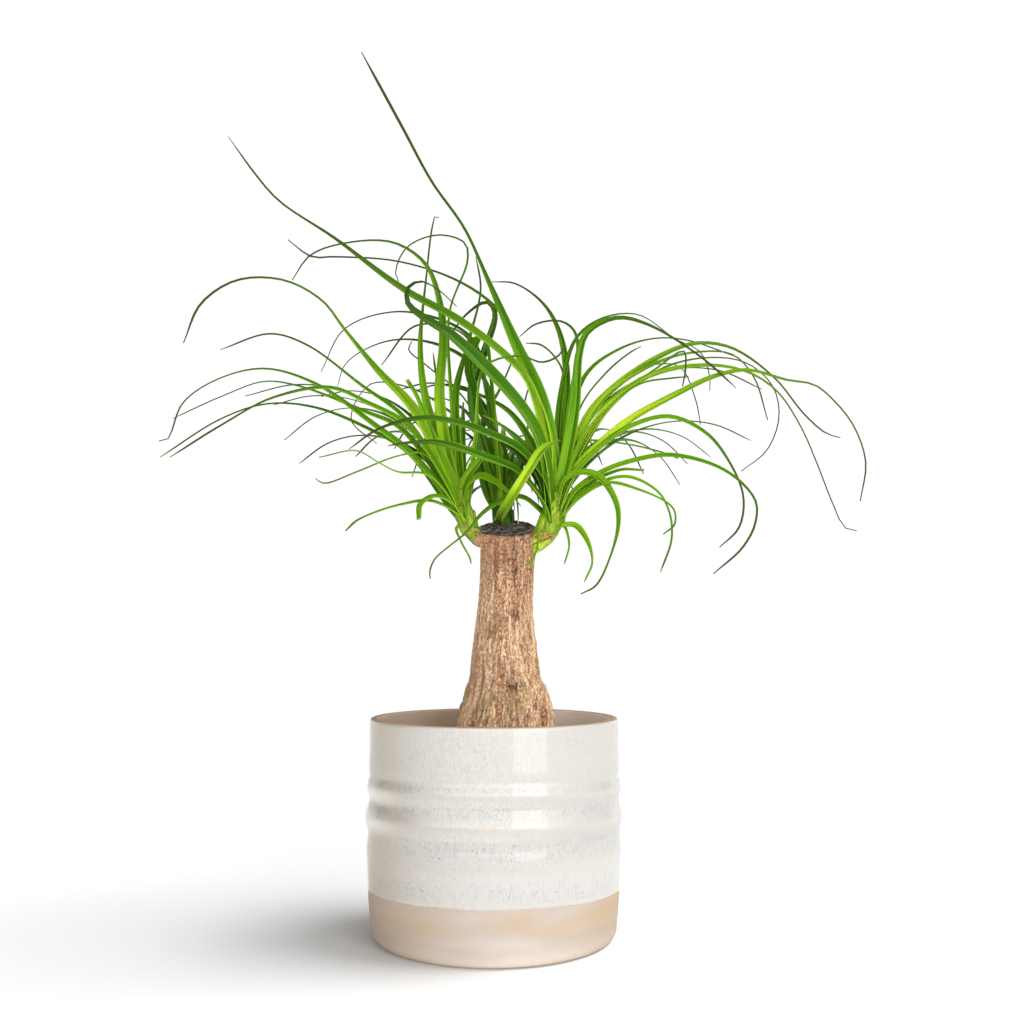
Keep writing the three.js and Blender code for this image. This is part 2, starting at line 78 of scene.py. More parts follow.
# Driving dimensions of the nursery pot and the soil

NURSERY_HEIGHT = 97
NURSERY_RIM_RADIUS = 64
NURSERY_BASE_RADIUS = 47
NURSERY_WALL = 1
NURSERY_LIP = 2.5
SOIL_BELOW_RIM = 7
SOIL_DOME = 3
CRUMBS = 620
CRUMB_SIZES = (0.5, 1.9)
CRUMBS_FROM = 31
NURSERY_TURNS = 120
SOIL_TURNS = 150

# Driving dimensions of the trunk

CUT_HEIGHT = 236
CUT_LEAN = 0.4
TRUNK_LEVELS = [
    # height, centre across, radius
    (66, 5, 15), (71, 5, 25), (80, 5.2, 31), (92, 5.5, 34), (105, 5.7, 33),
    (119, 5.7, 29.7), (127, 6.2, 27.5), (139, 6.6, 23.9), (148, 6.2, 21.3),
    (166, 6.2, 19.1), (189, 6.4, 16.5), (207, 7.5, 16.2), (225, 8.2, 16.6), (252, 8.6, 16.6),
]
TRUNK_FOOT_ACROSS = 5.5
FLARE_TOP = 170
FLARE_BASE = 119
FLARE_RIBS = 7
FLARE_RIB_SHARE = 0.05
KNEE_HEIGHT = 225.5
KNEE_REACH = 4.8
GROOVE_BEARING = -1.31
TRUNK_TURNS = 200
TRUNK_ROWS = 230

# Dark marks on the front of the trunk: across, half width, height, half height

SCRIBBLE = (12.5, 8.5, 143, 4)
BLOTCH = (13, 3.4, 184, 7)
HOLLOW = (24.5, 5, 230, 10)

# The viewer's eye: leaf routes are given across and up on the plane through the
# trunk, and a point nearer or further off lies on the same line of sight

EYE = np.array([10.5, -653.0, 176.0])
EYE_PITCH = 6.14
EYE_LENS = 38.11

# Light, with places and sizes in metres

BACKDROP_LIGHT = 1.04
FRONT_LIGHT = 3.1
SIDE_LIGHT = 0.17
SOFTBOX_WATTS = 2.1
SOFTBOX_PLACE = (0.36, -0.59, 0.47)
SOFTBOX_AIM = (0.02, -0.07, 0.47)
SOFTBOX_SIZE = (0.353, 0.91)
KEY_STRENGTH = 2.84
KEY_SPREAD = 40
KEY_PLACE = (0.50, 0.07, 0.86)

# Leaf blades

TAPERED_TIP = 0.14
BLUNT_TIP = 0.62
TAPERS = {
    # where along a leaf its taper starts and ends
    "leaves": (0.12, 0.84), "whips": (0.2, 0.58), "long_straps": (0.42, 0.84), "straps": (0.45, 0.97),
    "steered": (0.8, 1.02),
}
LEAF_KINDS = ["leaves", "whips", "long_straps", "straps", "blunt_leaves", "steered"]
NARROWEST = 0.9
POINT_STARTS = 0.94
POINT_WIDTH = 0.35
CLASP_SHARE = 1.3
SAMPLE_STEP = 3
CLEARANCE = 1.1
BENDS = [0, *(sign * bend for bend in range(1, 11) for sign in (1, -1))]
BEND_REACHES = [0.5, 0.22]
BLADE_THICKNESS = 0.45
BLADE_ACROSS = 4
BLADE_ALONG = 44
CHANNEL_SHARE = 0.3
FILL_SHORTEST = 120
FILL_RISE = (48, 82)
FILL_WIDTH = (3.5, 6)
FILL_SPANS = 6
STEM_ROWS = 24
STEM_SIDES = 36
STEM_SCALES = [
    # facing and half turn in degrees, low and high share of the stem, how torn, how much darker
    (-75, 62, 0.06, 0.42, 1, 0), (-20, 55, 0.02, 0.36, 1, 0), (-130, 50, 0.1, 0.5, 1, 0),
    (40, 60, 0.05, 0.45, 1, 0), (-100, 46, 0.25, 0.8, 0.25, 0.1), (-55, 40, 0.3, 0.86, 0, 0.3),
    (-150, 48, 0.3, 0.84, 0, 0.4), (-10, 44, 0.2, 0.74, 0.3, 0.15),
]

# Each leaf: width, tone from pale 0 to dark 1, depth of its tip, then its route across
# and up, root first. A steered leaf has width and tone, then across, up and depth at each point

RIGHT_SHOOT = {
    "name": "right",
    "stem_tone": 0.05,
    "stem_torn": 1,
    "depth": -3,
    "stem_start": -3,
    "stem": [(18, 224, 5.4), (26, 229, 6.4), (32, 236, 7), (36, 247, 6.4), (38.5, 260, 4)],
    "leaves": [
        [3.5, 0.6, 25, 36, 250, 35, 285, 30, 315, 20, 340, 3, 371, -22, 390, -60, 403, -100, 406, -114,
         406, -129, 417],
        [6.5, 0.0, -55, 38, 248, 48, 270, 63, 286, 83, 303, 115, 321, 135, 330, 155, 334, 179, 328,
         196, 325, 206, 317, 219, 300, 226, 277, 222, 253],
        [5.6, 0.0, -20, 38, 246, 45, 269, 56, 292, 73, 315, 94, 330, 128, 337, 155, 333, 173, 321,
         187, 299, 196, 277, 205, 252, 212, 237, 219, 235],
        [6.2, 0.03, 35, 38, 247, 48, 281, 57, 305, 72, 322, 102, 343, 124, 351, 146, 348, 172, 329, 189,
         307, 202, 295, 211, 292],
        [4.8, 0.12, 10, 38, 250, 54, 297, 69, 319, 98, 338, 121, 345, 146, 344, 159, 330, 167, 303],
        [7.5, 0.45, -30, 38, 240, 41, 265, 49, 310, 52, 345, 57, 358, 75, 367, 94, 363, 126, 343, 148,
         323],
        [4, 0.5, 50, 37, 242, 37, 275, 41, 322, 50, 354, 67, 367, 89, 369, 111, 354, 127, 345, 132,
         330, 132, 321],
        [4, 0.5, 70, 38, 246, 43, 280, 55, 330, 76, 347, 98, 354, 118, 353, 150, 342],
        [5.5, 0.35, -70, 39, 248, 46, 266, 61, 283, 79, 297, 106, 305, 129, 295, 143, 277, 151, 256,
         148, 237, 136, 225],
        [5, 0.4, -90, 39, 242, 48, 258, 64, 270, 85, 278, 109, 281, 140, 272, 158, 254, 158, 240, 150,
         225, 132, 209],
        [3, 0.4, -45, 40, 245, 55, 260, 80, 268, 99, 259, 106, 246, 107, 230, 100, 210],
        [3.5, 0.4, -60, 40, 243, 50, 254, 68, 264, 88, 260, 108, 249, 109, 239, 102, 233],
        [2, 0.6, 60, 37, 255, 44, 285, 54, 290, 81, 288, 105, 282, 112, 279],
        [5, 0.45, -60, 38, 250, 42, 265, 50, 270, 62, 269, 73, 254, 75, 240, 70, 220, 61, 202, 52, 197],
        [4.5, 0.4, -35, 34, 236, 41, 238, 49, 238, 56, 229, 59, 216, 54, 204],
        [1.5, 0.5, -25, 38, 240, 42, 238, 45, 227, 42, 215],
        [2, 0.5, -32, 32, 250, 27, 240, 26, 226, 22, 216, 17, 214],
        [2, 0.4, 30, 38, 250, 42, 331, 37, 342, 28, 350, 19, 351],
        [4, 0.75, -34, 31, 244, 18, 255, 8, 255, -7, 246, -17, 234, -27, 226, -36, 218, -39, 211, -39,
         206],
        [2, 0.5, 55, 38, 250, 55, 300, 80, 330, 95, 337, 114, 336, 123, 316, 126, 300],
        [2.2, 0.5, 30, 38, 250, 70, 310, 110, 338, 151, 340, 170, 325, 174, 305, 166, 284, 150, 271],
        [2, 0.3, -15, 38, 250, 60, 300, 88, 325, 108, 329, 119, 330],
        [1.8, 0.5, 85, 38, 250, 52, 310, 68, 332, 83, 345, 90, 349],
        [2, 0.4, -40, 38, 250, 60, 305, 99, 335, 116, 346, 117, 334, 115, 324],
        [5.5, 0.5, 45, 34, 250, 27, 278, 10, 307, -8, 318, -20, 322, -40, 326, -58, 322],
        [2.8, 0.15, -20, 36, 245, 35, 290, 27, 318, 15, 341],
    ],
    "whips": [
        [10, 0.3, -25, 36, 240, 35, 262, 33, 290, 26, 320, 13, 350, -4, 390, -19, 424, -40, 455, -58,
         489, -85, 540],
    ],
    "long_straps": [
        [6, 0.12, -45, 36, 240, 35, 262, 31, 285, 20, 328, 8, 342, -22, 365, -55, 384, -100, 418, -135,
         442, -150, 459, -168, 484],
    ],
    "straps": [
        [9, 0.7, -60, 34, 245, 32, 265, 28, 288, 21, 304, -9, 339, -28, 357, -44, 367, -54, 376, -54,
         386, -47, 390, -36, 385, -24, 374],
        [6.8, 0.82, -75, 35, 240, 34, 254, 30, 268, 15, 285, -3, 294, -22, 301, -44, 304, -70, 298,
         -89, 285],
        [6.4, 0.84, -88, 33, 240, 31, 250, 24, 261, 13, 272, -3, 279, -35, 289, -52, 289, -65, 287],
        [6.5, 0.8, -25, 33, 245, 30, 262, 22, 280, 11, 294, -1, 303, -7, 306],
        [4.2, 0.55, 40, 38, 248, 42, 300, 44, 332, 39, 360, 29, 377, 12, 389, -2, 390],
        [3, 0.5, 20, 38, 245, 44, 300, 51, 350, 48, 360, 40, 365, 25, 363, 15, 355],
    ],
    "blunt_leaves": [
        [3, 0.3, -15, 40, 247, 55, 262, 76, 272, 91, 272],
    ],
    "fill": {"count": 14, "from": 8, "to": 140, "droop": (0, 45), "longest": 210},
}

LEFT_SHOOT = {
    "name": "left",
    "stem_tone": 0.25,
    "stem_torn": 0.4,
    "depth": -3,
    "stem_start": -3,
    "stem": [(-6, 227, 3.2), (-12.5, 232, 4.2), (-16.5, 240, 5.4), (-19.5, 249, 5.4), (-21.5, 260, 3.6)],
    "leaves": [
        [3.5, 0.4, 25, -20, 245, -32, 270, -56, 305, -81, 324, -116, 350, -139, 357, -169, 347],
        [5, 0.3, -70, -18, 240, -28, 255, -52, 283, -74, 300, -109, 325, -141, 335, -169, 329, -191,
         314, -200, 291, -205, 290],
        [4, 0.4, 15, -20, 244, -30, 262, -58, 298, -79, 308, -120, 324, -142, 327, -167, 318, -197,
         304],
        [3, 0.5, 60, -18, 238, -28, 250, -52, 282, -78, 298, -111, 311, -140, 313, -167, 304, -204,
         280],
        [5.5, 0.3, -95, -19, 243, -28, 262, -54, 300, -79, 314, -101, 323, -136, 317, -167, 300, -198,
         280],
        [1.8, 0.4, 40, -20, 245, -45, 290, -90, 320, -122, 325, -153, 318],
        [2.5, 0.45, -60, -17, 238, -27, 255, -40, 269, -59, 271, -71, 277, -84, 284, -107, 280],
        [2, 0.4, -30, -17, 238, -22, 250, -43, 282, -58, 281, -84, 271, -104, 264, -109, 267],
        [2.8, 0.5, -70, -17, 240, -23, 246, -38, 253, -57, 251, -82, 242, -90, 235],
        [1.4, 0.5, -26, -18, 240, -23, 237, -20, 228, -15, 219, -14, 215],
        [6, 0.2, 10, -20, 248, -30, 275, -43, 319, -46, 350, -43, 391, -39, 427, -37, 433, -35, 431],
        [7, 0.18, -8, -20, 246, -28, 275, -34, 319, -32, 350, -34, 376, -43, 401, -63, 415, -92, 415,
         -115, 407, -126, 391],
        [7, 0.45, 16, -20, 248, -22, 268, -24, 319, -16, 353, -9, 385, -12, 406],
        [2, 0.4, 28, -21, 255, -27, 320, -28, 371, -17, 404, -19, 415, -36, 420, -55, 412, -62, 396,
         -60, 390],
        [2.5, 0.4, -20, -17, 245, -12, 290, -6, 336, 15, 343, 29, 339, 39, 343, 43, 349],
        [6, 0.55, 20, -18, 240, -24, 262, -27, 280, -30, 300, -36, 330, -38, 345],
    ],
    "whips": [
        [7.5, 0.12, -35, -17, 240, -25, 262, -50, 310, -72, 334, -93, 360, -107, 378, -131, 391, -160,
         391, -182, 376, -192, 351],
    ],
    "straps": [
        [6.5, 0.55, -28, -17, 240, -18, 251, -17, 262, -9, 268, 0, 265, 11, 256, 16, 250],
    ],
    "blunt_leaves": [
        [4, 0.45, -40, -17, 240, -27, 253, -37, 256, -45, 251, -46, 242],
        [5.5, 0.5, -14, -18, 246, -19, 264, -11, 276, -6, 283],
        [3, 0.3, -30, -20, 250, -33, 280, -48, 318, -54, 328],
        [6.5, 0.5, 12, -20, 246, -29, 271, -35, 308],
    ],
    "fill": {"count": 13, "from": 42, "to": 168, "droop": (0, 45), "longest": 200},
}

BACK_SHOOT = {
    "name": "back",
    "stem_tone": 0.8,
    "stem_torn": 0,
    "depth": 20,
    "stem_start": 9,
    "stem": [(7, 225, 5.6), (6, 235, 6), (5, 246, 5.6), (3.5, 260, 3.6)],
    "leaves": [
        [2.5, 0.7, 80, 4, 247, -8, 290, -30, 310, -52, 323, -77, 325, -88, 303, -72, 288],
        [1.8, 0.7, 45, 5, 247, -5, 325, -20, 357, -49, 362, -70, 337],
        [1.5, 0.75, 42, 4, 247, -5, 290, -20, 318, -42, 337, -53, 347, -51, 352],
        [5.5, 0.8, 70, 3, 248, -9, 285, -6, 305, 3, 322, 10, 338, 15, 352],
        [6.5, 0.85, 38, 4, 246, -3, 256, -7, 268, -9, 285, -6, 300, -2, 314],
        [6, 0.8, 48, 6, 247, 12, 262, 17, 280, 20, 295, 20, 312],
        [5, 0.8, 34, 5, 247, 9, 256, 16, 265, 24, 272, 34, 276, 44, 274],
    ],
    "straps": [
        [2.6, 0.8, 60, 5, 247, -5, 320, -12, 350, -25, 362, -60, 371, -93, 360, -107, 333],
        [3, 0.8, 90, 4, 247, -5, 325, -22, 344, -48, 353, -71, 351, -92, 338, -97, 323],
        [5.5, 0.75, 35, 4, 247, -14, 320, -6, 347, 0, 370, -5, 377, -18, 369, -32, 349],
        [4.2, 0.85, 50, 4, 248, 0, 285, -6, 310, -17, 322, -35, 325, -49, 321],
        [3.6, 0.85, 70, 4, 247, -5, 280, -15, 305, -30, 316, -45, 316],
        [6, 0.45, -40, 5, 245, 1, 290, -2, 330, -5, 352, -9, 356, -13, 349, -16, 335, -12, 320, -6,
         303, 3, 292, 8, 278, 12, 261, 14, 248, 14, 239],
    ],
    "steered": [
        [5.2, 0.11, 2.5, 239.5, 12, 3.8, 244, -3, 6.5, 249, -18, 13, 260, -36, 21, 273, -37, 29, 285,
         -38, 38, 290, -39, 40, 290, -40],
    ],
    "fill": {"count": 14, "from": 60, "to": 125, "droop": (15, 62), "longest": 210},
}

SHOOTS = [RIGHT_SHOOT, LEFT_SHOOT, BACK_SHOOT]


# Small helpers


def mix(low, high, share):
    return low + (high - low) * share


def draw(index, salt):
    wave = math.sin(index * 12.9898 + salt * 78.233) * 43758.5453
    return wave - math.floor(wave)


def smooth(value):
    share = min(1.0, max(0.0, value))
    return share * share * (3 - 2 * share)


def smooth_all(values):
    shares = np.clip(values, 0, 1)
    return shares * shares * (3 - 2 * shares)


def swell(place, centre, reach):
    return math.exp(-(((place - centre) / reach) ** 2))


def curve_at(knots, steps):
    """Points of a smooth curve through the knots; steps run from 0 to 1 over them."""
    padded = np.vstack([2 * knots[0] - knots[1], knots, 2 * knots[-1] - knots[-2]])
    place = np.asarray(steps) * (len(knots) - 1)
    span = np.minimum(place.astype(int), len(knots) - 2)
    share = (place - span)[:, None]
    last, near, far, next_on = (padded[span + shift] for shift in range(4))
    before, here, after = (
        np.sum(stride**2, axis=1)[:, None] ** 0.25 for stride in (near - last, far - near, next_on - far)
    )
    start = ((near - last) / before - (far - last) / (before + here) + (far - near) / here) * here
    stop = ((far - near) / here - (next_on - near) / (here + after) + (next_on - far) / after) * here
    bend = 3 * (far - near) - 2 * start - stop
    swing = 2 * (near - far) + start + stop
    return near + start * share + bend * share**2 + swing * share**3


# Shader maths


class Wire:
    """An output socket. Arithmetic on it adds Math nodes and gives a new wire."""

    def __init__(self, graph, socket):
        self.graph = graph
        self.socket = socket

    def maths(self, operation, *values, clamp=False):
        settings = {"operation": operation, "use_clamp": clamp}
        return self.graph.node("ShaderNodeMath", settings, dict(enumerate(values)))

    def __add__(self, other):
        return self.maths("ADD", self, other)

    __radd__ = __add__

    def __sub__(self, other):
        return self.maths("SUBTRACT", self, other)

    def __rsub__(self, other):
        return self.maths("SUBTRACT", other, self)

    def __mul__(self, other):
        return self.maths("MULTIPLY", self, other)

    __rmul__ = __mul__

    def __truediv__(self, other):
        return self.maths("DIVIDE", self, other)

    def magnitude(self):
        return self.maths("ABSOLUTE", self)

    def clipped(self):
        return self.maths("ADD", self, 0.0, clamp=True)

    def over(self, low, high):
        """0 below low, 1 above high, and a soft step between them."""
        settings = {"interpolation_type": "SMOOTHSTEP"}
        values = {"Value": self, "From Min": low, "From Max": high}
        return self.graph.node("ShaderNodeMapRange", settings, values)

    def under(self, low, high):
        """1 below low, 0 above high, and a soft step between them."""
        return 1 - self.over(low, high)

    def band(self, centre, reach):
        """1 at centre, falling smoothly to 0 at reach from it."""
        return (self - centre).magnitude().under(0.0, reach)


class Graph:
    """A node tree, built up from wires."""

    def __init__(self, tree):
        self.tree = tree

    def node(self, kind, settings=None, values=None, output=0):
        made = self.tree.nodes.new(kind)
        for name, value in (settings or {}).items():
            if name == "stops":
                self.set_stops(made.color_ramp, value)
            else:
                setattr(made, name, value)
        for key, value in (values or {}).items():
            self.feed(made.inputs[key], value)
        return Wire(self, made.outputs[output])

    def set_stops(self, ramp, stops):
        while len(ramp.elements) < len(stops):
            ramp.elements.new(1.0)
        for element, (place, colour) in zip(ramp.elements, stops):
            element.position = place
            element.color = (*colour, 1.0)

    def feed(self, socket, value):
        if isinstance(value, Wire):
            self.tree.links.new(value.socket, socket)
        elif isinstance(value, tuple) and len(value) == 3 and socket.type == "RGBA":
            socket.default_value = (*value, 1.0)
        else:
            socket.default_value = value

    def parts(self, vector):
        made = self.tree.nodes.new("ShaderNodeSeparateXYZ")
        self.feed(made.inputs[0], vector)
        return [Wire(self, socket) for socket in made.outputs]


class Finish(Graph):
    """A procedural material."""

    def __init__(self, name):
        self.material = bpy.data.materials.new(name)
        self.material.use_nodes = True
        super().__init__(self.material.node_tree)
        self.surface = self.tree.nodes["Principled BSDF"]

    def place(self):
        return self.node("ShaderNodeTexCoord", output="Object")

    def stretched(self, scale, place):
        return self.node("ShaderNodeMapping", None, {"Vector": place, "Scale": scale})

    def joined(self, x, y, z):
        return self.node("ShaderNodeCombineXYZ", None, {0: x, 1: y, 2: z})

    def attribute(self, name):
        return self.node("ShaderNodeAttribute", {"attribute_name": name}, output="Fac")

    def noise(self, vector, scale, detail=2.0, roughness=0.5):
        values = {"Vector": vector, "Scale": scale, "Detail": detail, "Roughness": roughness}
        return self.node("ShaderNodeTexNoise", None, values)

    def cells(self, vector, scale, feature="F1"):
        return self.node("ShaderNodeTexVoronoi", {"feature": feature}, {"Vector": vector, "Scale": scale})

    def grain(self, place, rise, scale, detail=2.0, roughness=0.5):
        """Noise that is drawn out up the piece where rise is under 1, and round it where over 1."""
        return self.noise(self.stretched((1.0, 1.0, rise), place), scale, detail, roughness)

    def warped(self, place, scale, detail, shift, stretch):
        """The place, stretched and then shifted about by a noise."""
        values = {"Vector": place, "Scale": scale, "Detail": detail}
        drift = self.node("ShaderNodeTexNoise", None, values, output=1)
        terms = {0: drift, 1: shift, 2: self.stretched(stretch, place)}
        return self.node("ShaderNodeVectorMath", {"operation": "MULTIPLY_ADD"}, terms)

    def ramp(self, factor, stops):
        return self.node("ShaderNodeValToRGB", {"stops": stops}, {"Fac": factor})

    def blend(self, first, second, factor):
        values = {0: factor, 6: first, 7: second}
        return self.node("ShaderNodeMix", {"data_type": "RGBA"}, values, output=2)

    def bump(self, height, strength, distance):
        values = {"Height": height, "Strength": strength, "Distance": distance}
        return self.node("ShaderNodeBump", None, values)

    def set(self, **sockets):
        for name, value in sockets.items():
            self.feed(self.surface.inputs[name.replace("_", " ")], value)
        return self.material


# Materials


def pooled_glaze(height, across, cloud):
    """How thickly the glaze has run together above each ridge, made a little more on the left as painted
    shade of that side.
    """
    upper = height.over(83.0, 88.5) * height.under(88.5, 89.2)
    middle = height.over(68.0, 78.0) * height.under(78.0, 78.7)
    lower = height.over(46.0, 60.5) * height.under(60.5, 61.5)
    foot = height.band(35.0, 8.0)
    left = 0.92 - 0.22 * across.over(-0.05, 0.05)
    thick = upper * 0.6 + middle * 0.75 + lower * 0.8 + foot * 0.4 + 0.1
    return thick * left * (0.5 + 0.6 * cloud.over(0.3, 0.6))


def glaze_finish():
    glaze = Finish("speckled_cream_glaze")
    place = glaze.place()
    across, deep, up = glaze.parts(place)
    height = up / MM + deep * (RIDGE_TILT / POT_RADIUS / MM)
    streaks = glaze.grain(place, 0.22, 780.0, 4.0, 0.75)
    mottle = glaze.grain(place, 0.5, 1100.0, 4.0, 0.8)
    specks = glaze.cells(glaze.stretched((1.0, 1.0, 0.5), place), 900.0)
    drops = glaze.cells(place, 330.0)
    few = glaze.noise(place, 210.0, 2.0).over(0.44, 0.6)
    cloud = glaze.grain(place, 2.2, 34.0, 3.0)
    pooled = pooled_glaze(height, across, cloud)
    streaked = (pooled * (0.05 + 2.1 * streaks.over(0.47, 0.62))).clipped()
    grain = mottle * 0.5 + streaks * 0.5
    cream = glaze.blend((0.535, 0.505, 0.47), (0.615, 0.594, 0.56), grain.over(0.42, 0.58))
    # Painted shade: the glaze is warmer and darker towards the left edge, and darker on the right side.
    warm_toned = glaze.blend(cream, (0.53, 0.468, 0.38), across.under(-0.068, -0.035))
    shaded = glaze.blend(warm_toned, (0.488, 0.466, 0.44), across.over(-0.01, 0.06))
    warm_bands = (height.band(83.0, 2.6) + height.band(67.0, 4.0) + height.band(47.0, 5.0)).clipped()
    warm = glaze.blend(shaded, (0.55, 0.485, 0.415), warm_bands * 0.5)
    milk = height.band(38.0, 15.0) * across.over(-0.05, 0.0) * 0.45
    milky = glaze.blend(warm, (0.60, 0.585, 0.565), milk)
    # Painted light: the shaded undersides of the ridges near the left edge are lifted to a pale cream,
    # and the tint is thinned at that edge.
    under_ridges = (height.band(81.5, 7.5) + height.band(66.5, 8.5)).clipped()
    edge = across.under(-0.072, -0.046)
    painted_light_ridge_flanks = glaze.blend(milky, (0.88, 0.83, 0.75), under_ridges * edge * 0.95)
    tinted = glaze.blend(painted_light_ridge_flanks, (0.32, 0.355, 0.36), streaked * (0.55 - 0.35 * edge))
    dots = specks.under(0.12, 0.30) * few * (0.35 + pooled).clipped()
    speckled = glaze.blend(tinted, (0.14, 0.17, 0.19), dots * 0.9)
    dropped = glaze.blend(speckled, (0.17, 0.18, 0.17), drops.under(0.05, 0.12) * 0.5)
    thinned = glaze.blend(dropped, (0.60, 0.575, 0.53), height.band(GLAZE_LINE + 1.0, 2.0) * cloud * 0.6)
    surface_waves = glaze.noise(place, 60.0, 2.0) * 0.7 + streaks * 0.1
    return glaze.set(
        Base_Color=thinned,
        IOR=1.52,
        Roughness=0.02 + 0.03 * cloud,
        Normal=glaze.bump(surface_waves, 0.06, 0.0003),
    )


def clay_finish():
    clay = Finish("raw_stoneware")
    place = clay.place()
    across, _, up = clay.parts(place)
    height = up / MM
    bands = clay.grain(place, 5.0, 24.0, 3.0)
    grit = clay.noise(place, 2400.0, 2.0)
    flecks = clay.cells(place, 900.0)
    warm_toned = clay.grain(place, 2.6, 12.0).over(0.44, 0.62)
    pale = clay.blend((0.505, 0.43, 0.375), (0.56, 0.495, 0.45), bands.over(0.35, 0.65))
    # Painted shade: the clay is darker and ruddier on the left, and darker and browner on the right.
    painted_shade_left_clay = clay.blend(pale, (0.50, 0.375, 0.27), across.under(-0.06, 0.0) * 0.7)
    painted_shade_right_clay = clay.blend(painted_shade_left_clay, (0.38, 0.285, 0.20), across.over(0.01, 0.08) * 0.8)
    arc = height.band(19.5, 6.0) * across.band(-0.034, 0.038) * bands.over(0.3, 0.5)
    flashes = (warm_toned * height.over(12.0, 21.0) + arc).clipped()
    ochre = clay.blend(painted_shade_right_clay, (0.50, 0.35, 0.20), flashes * 0.5)
    # Painted light: the clay is paler near the foot, lifting the shade on its rounded underside.
    foot = height.under(1.0, 10.0) * across.band(0.0, 0.085)
    painted_light_foot = clay.blend(ochre, (0.80, 0.69, 0.59), foot * 0.5)
    speckled = clay.blend(painted_light_foot, (0.36, 0.26, 0.18), flecks.under(0.06, 0.22) * 0.35)
    grained = clay.blend(speckled, (0.66, 0.57, 0.48), grit.over(0.5, 0.75) * 0.3)
    rim = clay.blend(grained, (0.36, 0.235, 0.15), height.over(100.0, 110.0) * 0.8)
    return clay.set(
        Base_Color=rim,
        Specular_IOR_Level=0.2,
        Roughness=0.72 + 0.12 * grit,
        Normal=clay.bump(grit * 0.6 + bands * 0.4, 0.35, 0.0003),
    )


def inner_clay_finish():
    clay = Finish("unglazed_inside")
    place = clay.place()
    across, _, _ = clay.parts(place)
    rings = clay.noise(clay.stretched((0.6, 0.6, 9.0), place), 30.0, 3.0)
    grit = clay.noise(place, 2200.0, 2.0)
    taupe = clay.blend((0.46, 0.34, 0.245), (0.57, 0.44, 0.33), rings.over(0.3, 0.7))
    # Painted shade: the inside is darker in the middle, where the trunk stands before it.
    painted_trunk_shade = clay.blend(taupe, (0.34, 0.24, 0.165), across.band(-0.028, 0.026) * 0.6)
    # Painted light: the inside turns much paler towards the right.
    painted_light_right_inside = clay.blend(painted_trunk_shade, (1.0, 0.90, 0.78), across.over(0.0, 0.045))
    grained = clay.blend(painted_light_right_inside, (0.68, 0.55, 0.44), grit.over(0.52, 0.78) * 0.3)
    return clay.set(
        Base_Color=grained,
        Roughness=0.78 + 0.1 * grit,
        Normal=clay.bump(rings * 0.5 + grit * 0.4, 0.4, 0.0003),
    )


def nursery_finish():
    plastic = Finish("black_nursery_plastic")
    place = plastic.place()
    dust = plastic.noise(place, 260.0, 3.0)
    shade = plastic.blend((0.012, 0.012, 0.013), (0.06, 0.055, 0.05), dust.over(0.5, 0.8))
    return plastic.set(
        Base_Color=shade,
        Roughness=0.38 + 0.25 * dust,
        Normal=plastic.bump(dust, 0.1, 0.0002),
    )


def soil_finish():
    soil = Finish("potting_soil")
    place = soil.place()
    lumps = soil.noise(place, 420.0, 4.0, 0.65)
    fibres = soil.noise(soil.stretched((1.0, 3.0, 1.0), place), 900.0, 2.0)
    dark = soil.blend((0.018, 0.011, 0.007), (0.10, 0.062, 0.038), lumps.over(0.35, 0.7))
    fibred = soil.blend(dark, (0.21, 0.135, 0.08), fibres.over(0.62, 0.74) * 0.7)
    tone = soil.blend(fibred, (0.17, 0.10, 0.055), soil.attribute("tone") * 0.5)
    return soil.set(
        Base_Color=tone,
        Roughness=0.92,
        Normal=soil.bump(lumps + fibres * 0.4, 0.7, 0.0008),
    )


def bark_marks_and_groove_shade(side, height, warp, fine):
    """The dark marks on the front of the trunk, and painted shade along the two grooves that run down
    from the cut.
    """
    scribble, blotch, hollow = (
        side.band(across_at, half_width) * height.band(up_at, half_height)
        for across_at, half_width, up_at, half_height in (SCRIBBLE, BLOTCH, HOLLOW)
    )
    lines = scribble * (warp * 0.5 + fine * 0.7).over(0.54, 0.60)
    dents = blotch * fine.over(0.36, 0.5) * 0.7 + hollow * fine.over(0.38, 0.52) * 0.8
    # Painted shade: dark lines down the two grooves under the cut.
    wander = side + (warp - 0.5) * 5
    long_slot = wander.band(12.0, 0.9) * height.over(192.0, 204.0) * 0.75
    short_slot = wander.band(17.0, 0.7) * height.over(206.0, 216.0) * 0.525
    return (lines + dents + long_slot + short_slot).clipped()


